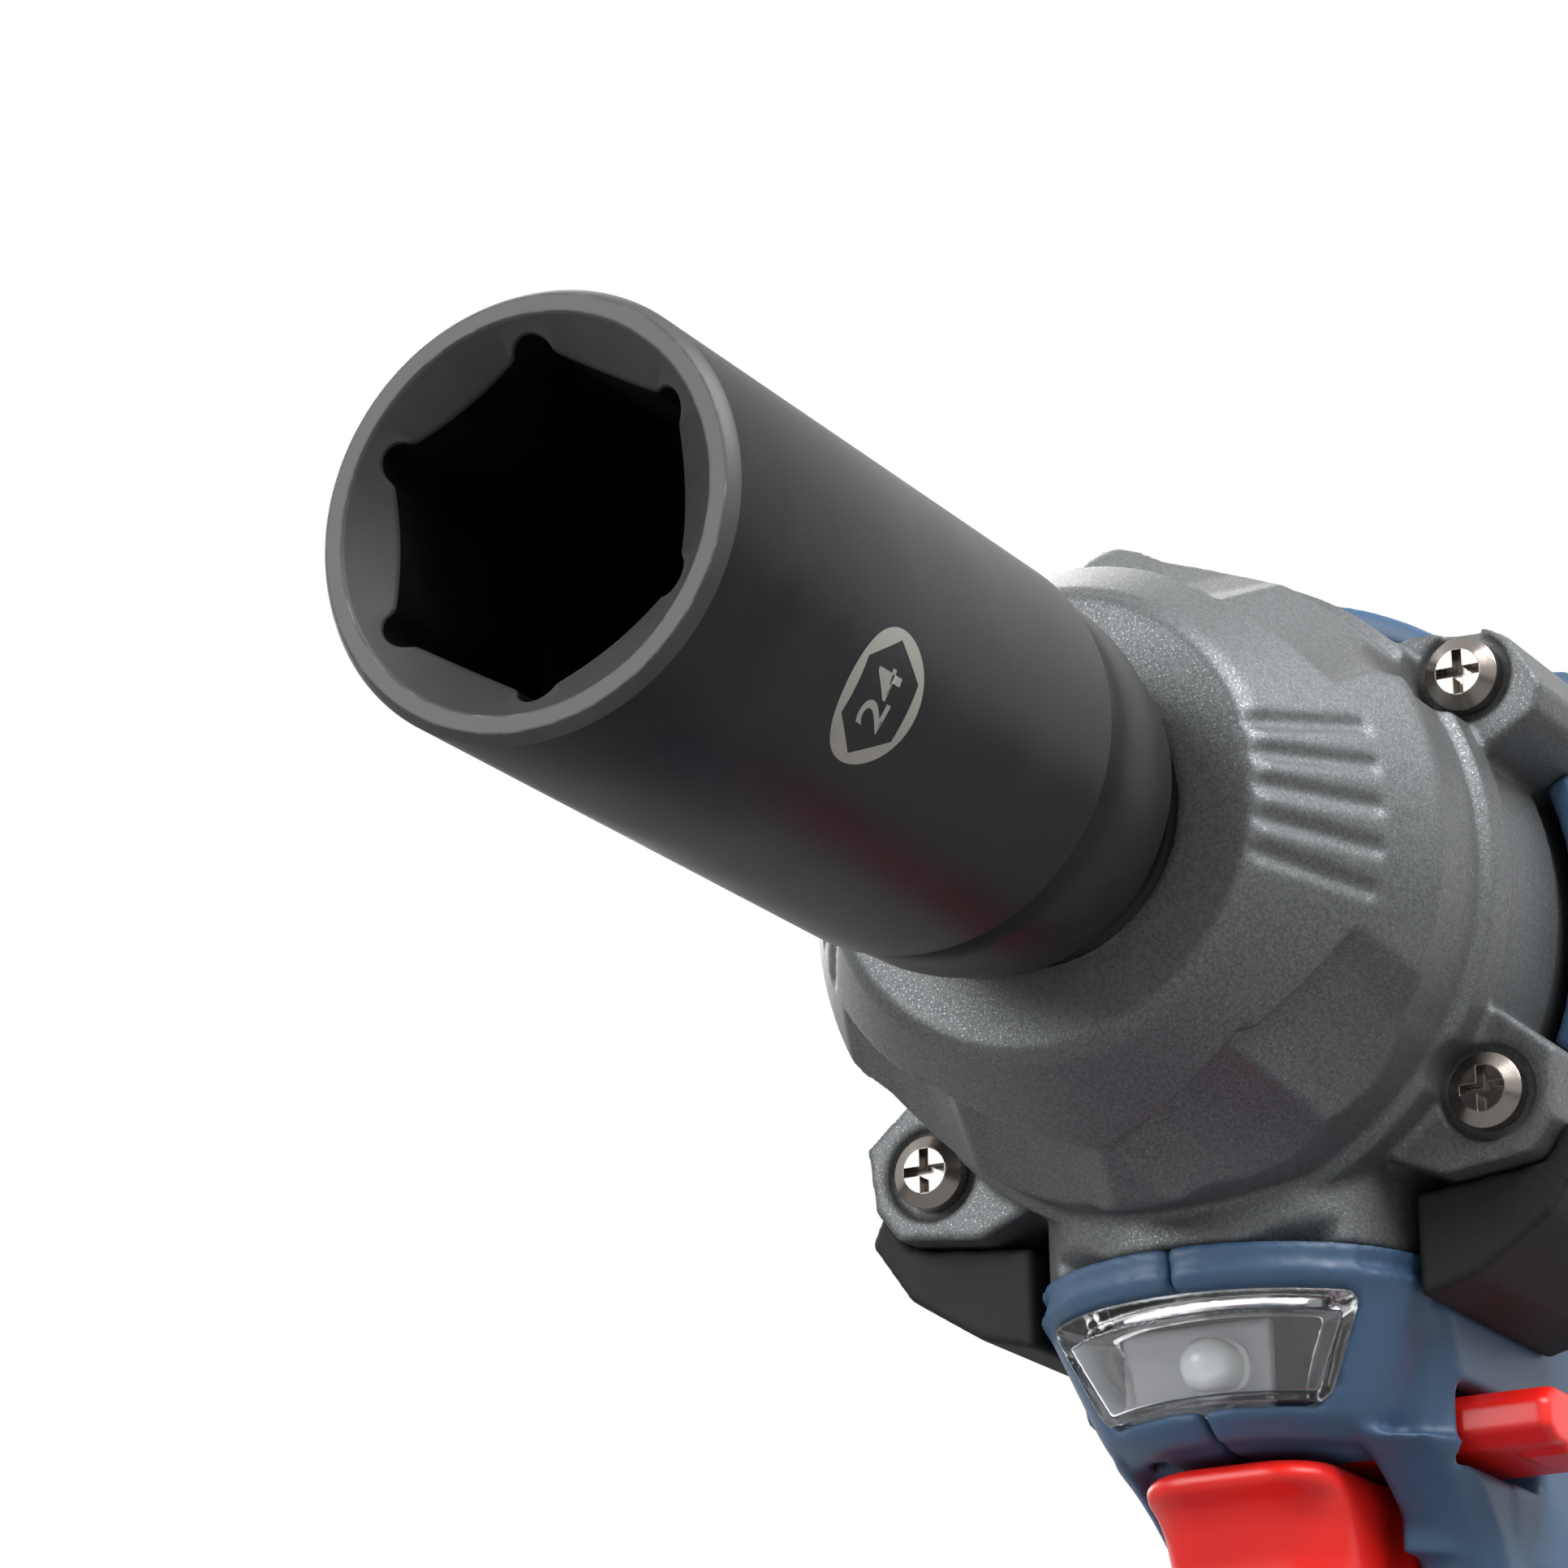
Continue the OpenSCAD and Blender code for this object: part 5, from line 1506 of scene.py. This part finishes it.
    def _window(self, grow: float, near: float, far: float) -> Solid:
        """A slab of the lamp's outline that follows the chin.

        Args:
            grow: how far the outline is moved outwards.
            near: lift of its inner face over the chin.
            far: lift of its outer face.

        Returns:
            The slab.
        """
        low, high = self.lens_z[0] - grow, self.lens_z[1] + grow
        half = self.lens_half + grow / self.chin.radius
        corner, turns, levels = self.lens_corner + grow, 44, 8
        rings = []
        for step in range(turns + 1):
            turn = half * math.sin(math.pi / 2 * (2 * step / turns - 1))
            edge = (half - abs(turn)) * self.chin.radius
            drawn = corner - math.sqrt(max(0.0, corner**2 - max(0.0, corner - edge) ** 2))
            heights = [
                low + drawn + (high - low - 2 * drawn) * level / levels for level in range(levels + 1)
            ]
            slant = [1 - self.lens_slant * (high - z) / (high - low) for z in heights]
            outer = [self.chin.surface(turn * k, z, far) for z, k in zip(heights, slant)]
            inner = [self.chin.surface(turn * k, z, near) for z, k in zip(heights, slant)]
            rings.append(outer + inner[::-1])
        return Solid.rings(rings)

    def _dome(self) -> bpy.types.Object:
        """The lamp's domed diode, turned about its own axis."""
        profile = (
            (0, 2.9), (0.9, 2.9), (0.95, 2.5), (3.2, 2.5), (4.0, 2.37), (4.7, 2.0), (5.2, 1.5),
            (5.5, 0.9), (5.65, 0.3),
        )
        turns = [math.tau * step / ROUND_STEPS for step in range(ROUND_STEPS)]
        rings = [
            [self.led + MM * Vector((along, r * math.cos(a), r * math.sin(a))) for a in turns]
            for along, r in profile
        ]
        dome = Solid.rings(rings)
        made = dome.piece("lamp_dome", "housing", Slot.CLEAR_PLASTIC, self.finishes, ["lamp_led"], 30)
        made.data.materials.clear()
        made.data.materials.append(self.finishes.of(DOME_PLASTIC))
        return made

    def _lamp(self) -> List[bpy.types.Object]:
        """The clear wrap-round tray, the dome behind it and its reflector."""
        cover = self._window(0, -5.2 * MM, 0.3 * MM)
        cover.cut(self._window(-1.15 * MM, -9 * MM, -1.1 * MM)).mould(0.2 * MM, 3, 0.5)
        places = corners((-1.2, 0.1), (-9.5, 4.5), (-4.4, 4.4))
        tray = Solid.hull(self.led + MM * Vector(place) for place in places).mould(0.25 * MM, 2, 0.6)
        return [
            cover.piece("lamp_cover", "housing", Slot.CLEAR_PLASTIC, self.finishes, ["lamp_lens"]),
            self._dome(),
            tray.piece("lamp_reflector", "housing", Slot.BUTTON_GREY, self.finishes, ["lamp_board"]),
        ]


@dataclass
class Pack:
    """The slide-on battery's case in two halves, with grip grooves in its sides.

    Attributes:
        finishes: the store of made finishes.
        depth: how deep the grooves are.
        count: number of grooves in each side of the lid.
        pitch: distance between them.
        width: their width.
        margin: distance of their ends from the case's ends.
        grain: size of the cells that the halves are rebuilt from.
    """

    finishes: Finishes
    depth: float = 0.8 * MM
    count: int = 4
    pitch: float = 5 * MM
    width: float = 2.4 * MM
    margin: float = 22 * MM
    grain: float = 0.6 * MM

    def build(self) -> List[bpy.types.Object]:
        """Moulds both halves."""
        halves = (
            ("pack_lid", "battery_upper_case", self._side_grooves()),
            ("pack_tray", "battery_lower_case", self._side_pockets()),
        )
        made = []
        for name, node, bites in halves:
            case = Solid.copy_of(node).mould(self.grain, 1)
            case.cut(*bites).mould(self.grain, 3, 0.35)
            made.append(case.piece(name, "battery", Slot.PACK_PLASTIC, self.finishes, [node]))
        return made

    def _slab(self, x: Tuple[float, float], z: Tuple[float, float], side: int, half: float) -> Solid:
        """A shallow bite out of one side, with slanted ends.

        Args:
            x: its rear and front.
            z: its foot and top.
            side: 1 for the left and -1 for the right.
            half: half the case's width.

        Returns:
            The bite.
        """
        inner, outer, slant = half - self.depth, half + self.depth, 1.2 * MM
        return Solid.hull(
            (px, side * py, pz)
            for py, draw in ((inner, slant), (outer, 0))
            for px in (x[0] + draw, x[1] - draw)
            for pz in (z[0] + draw / 2, z[1] - draw / 2)
        )

    def _side_grooves(self) -> List[Solid]:
        """Grooves along both sides of the lid."""
        low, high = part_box("battery_upper_case")
        length = (low[0] + self.margin, high[0] - self.margin)
        feet = [low[2] + 7 * MM + number * self.pitch for number in range(self.count)]
        return [
            self._slab(length, (foot, foot + self.width), side, high[1])
            for side in (-1, 1)
            for foot in feet
        ]

    def _side_pockets(self) -> List[Solid]:
        """One long shallow pocket in both sides of the tray."""
        low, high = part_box("battery_lower_case")
        margin = self.margin - 8 * MM
        length, height = (low[0] + margin, high[0] - margin), (low[2] + 7 * MM, high[2] - 6 * MM)
        return [self._slab(length, height, side, high[1]) for side in (-1, 1)]


@dataclass
class Fittings:
    """The rear cover and the belt hook, with softened edges.

    Attributes:
        finishes: the store of made finishes.
        cells: each node's piece name, slot and size of the cells that it is rebuilt from.
    """

    finishes: Finishes
    cells: Sequence[Tuple[str, str, Slot, float]] = (
        ("rear_cover", "cover_rear", Slot.BLACK_PLASTIC, 0.45 * MM),
        ("belt_hook", "hook_strip", Slot.HOOK_STEEL, 0.3 * MM),
    )

    def build(self) -> List[bpy.types.Object]:
        """Softens each node."""
        made = []
        for node, name, slot, grain in self.cells:
            fitting = Solid.copy_of(node).mould(grain, 3, 0.4)
            made.append(fitting.piece(name, "housing", slot, self.finishes, [node]))
        return made


@dataclass
class Springs:
    """The coil springs, copied as they are from their nodes.

    Attributes:
        finishes: the store of made finishes.
        coils: each spring's node, body, joint, axis number and travel.
    """

    finishes: Finishes
    coils: Sequence[Tuple[str, str, str, int, float]] = (
        ("hammer_spring", "spindle", "hammer_retract", 0, 8 * MM),
        ("trigger_spring", "housing", "trigger_press", 0, 7 * MM),
        ("latch_spring", "battery", "latch_press", 2, 4 * MM),
    )

    def build(self) -> List[bpy.types.Object]:
        """Copies each spring's node into a piece on its body."""
        made = []
        for node, body, joint, number, travel in self.coils:
            coil = Solid.copy_of(node).piece(
                f"{node}_coil", body, Slot.SPRING_STEEL, self.finishes, [node], 60
            )
            made.append(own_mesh(coil))
        return made


# ---- Stage, lights and camera ----


@dataclass
class Studio:
    """A pale floor under soft lights, and the camera.

    Attributes:
        white: colour of the floor where it is seen.
        bounce: its colour for the light that it throws back.
        fade: distances between which it turns to plain white.
        lift: its own light near the tool.
        sky: strength of the light from all round.
        lamps: place, aim, size and power of each soft light.
        eye: the camera's place.
        ahead: the way that it looks.
        right: its right-hand side.
        reach: half the floor's width.
        gap: how far the floor lies under the tool.
        lens: its focal length in millimetres on a 36 mm sensor.
        shift: how far the picture is moved off the lens's axis.
    """

    white: Colour = (0.86, 0.86, 0.86)
    bounce: Colour = (0.3, 0.3, 0.3)
    fade: Tuple[float, float] = (0.35, 1.3)
    lift: float = 0.12
    sky: float = 0.44
    lamps: Sequence[Tuple[Colour, Colour, float, float]] = (
        ((0.25, 0.75, 1.0), (0.05, 0, 0.17), 0.7, 19.0),
        ((0.9, -0.45, 0.55), (0.05, 0, 0.17), 0.6, 8.0),
        ((-0.6, -0.7, 0.8), (0, 0, 0.12), 0.8, 9.5),
    )
    eye: Colour = (0.5129, 0.2067, 0.0398)
    ahead: Colour = (-0.85357, -0.42717, 0.29823)
    right: Colour = (-0.45441, 0.89043, -0.02518)
    reach: float = 40.0
    gap: float = 0.2 * MM
    lens: float = 139.85
    shift: Tuple[float, float] = (-0.0347, 0.0289)

    def build(self) -> None:
        """Makes the floor, the sky, the lights and the camera."""
        self._floor()
        self._sky()
        for number, (place, aim, size, power) in enumerate(self.lamps):
            self._lamp(number, Vector(place), Vector(aim), size, power)
        self._camera()

    def _floor(self) -> None:
        """A wide floor that is white to the camera but keeps the shadow."""
        mesh = bpy.data.meshes.new("floor")
        signs = ((-1, -1), (1, -1), (1, 1), (-1, 1))
        outline = [(self.reach * x, self.reach * y, -self.gap) for x, y in signs]
        mesh.from_pydata(outline, [], [(0, 1, 2, 3)])
        floor = bpy.data.objects.new("floor", mesh)
        bpy.context.scene.collection.objects.link(floor)
        g = Graph("floor_white")
        speck = g.noise(30 * MM, 3)
        near = g.blend(speck * 0.15, self.white, tone(self.white, 0.97))
        away = g.vector("LENGTH", g.place()).port("Value").ease(*self.fade)
        path = g.node("LightPath")
        seen = g.math("MAXIMUM", path.port("Is Camera Ray"), path.port("Is Transmission Ray"))
        glow = seen * (away * (1 - self.lift) + self.lift)
        mesh.materials.append(
            g.close(
                Base_Color=g.blend(seen, self.bounce, g.blend(away, near, (0, 0, 0))),
                Roughness=1.0,
                Specular_IOR_Level=0.0,
                Emission_Color=g.blend(glow, (0, 0, 0), (1, 1, 1)),
                Emission_Strength=1.0,
                Alpha=1 - g.node("NewGeometry").port("Backfacing"),
            )
        )

    def _sky(self) -> None:
        """Light from all round, white where it is seen."""
        world = bpy.data.worlds.new("studio")
        bpy.context.scene.world = world
        g = Graph.of_world(world)
        path = g.node("LightPath")
        mirrored = g.math("MAXIMUM", path.port("Is Glossy Ray"), path.port("Is Transmission Ray"))
        seen = g.math("MAXIMUM", path.port("Is Camera Ray"), mirrored)
        lit = g.node("Background", None, {"Strength": self.sky, "Color": (1, 1, 1)})
        shown = g.node("Background", None, {"Strength": 1.0, "Color": (1, 1, 1)})
        mixed = g.node("MixShader", None, {0: seen, 1: lit, 2: shown})
        g.node("OutputWorld", None, {"Surface": mixed})

    @staticmethod
    def _lamp(number: int, place: Vector, aim: Vector, size: float, power: float) -> None:
        """One square soft light."""
        data = bpy.data.lights.new(f"soft_light_{number}", "AREA")
        data.size = size
        data.energy = power
        lamp = bpy.data.objects.new(data.name, data)
        lamp.location = place
        lamp.rotation_mode = "QUATERNION"
        lamp.rotation_quaternion = (aim - place).to_track_quat("-Z", "Y")
        bpy.context.scene.collection.objects.link(lamp)

    def _camera(self) -> None:
        """A long lens that looks up at the socket from the tool's front left."""
        data = bpy.data.cameras.new("camera")
        data.lens = self.lens
        data.sensor_width = 36
        data.shift_x, data.shift_y = self.shift
        data.clip_start, data.clip_end = 0.01, 50
        camera = bpy.data.objects.new("camera", data)
        ahead = Vector(self.ahead).normalized()
        right = Vector(self.right)
        right = (right - right.dot(ahead) * ahead).normalized()
        up = right.cross(ahead)
        turn = Matrix((right, up, -ahead)).transposed().to_4x4()
        camera.matrix_world = Matrix.Translation(Vector(self.eye)) @ turn
        bpy.context.scene.collection.objects.link(camera)
        bpy.context.scene.camera = camera
        bpy.context.scene.view_settings.view_transform = "Standard"


def dress_frame(finishes: Finishes) -> int:
    """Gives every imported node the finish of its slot.

    Args:
        finishes: the store of made finishes.

    Returns:
        The number of nodes dressed.
    """
    slots = {part["node"]: part["material_slot"] for part in frame["record"]["subparts"]}
    for name, piece in frame["nodes"].items():
        finishes.dress(piece, Slot[slots[name].upper()].value)
        log.info("%s wears %s", name, slots[name])
    return len(slots)


def main() -> None:
    """Builds the sub-assemblies in order."""
    logging.basicConfig(level=logging.INFO, format="%(name)s: %(message)s")
    finishes = Finishes()
    log.info("%d nodes dressed", dress_frame(finishes))
    for part in (ImpactSocket, HammerCase, Body, Trigger, Selector, Pack, Fittings, Springs):
        log.info("%s: %d pieces", part.__name__, len(part(finishes).build()))
    Studio().build()


if __name__ == "__main__":
    main()
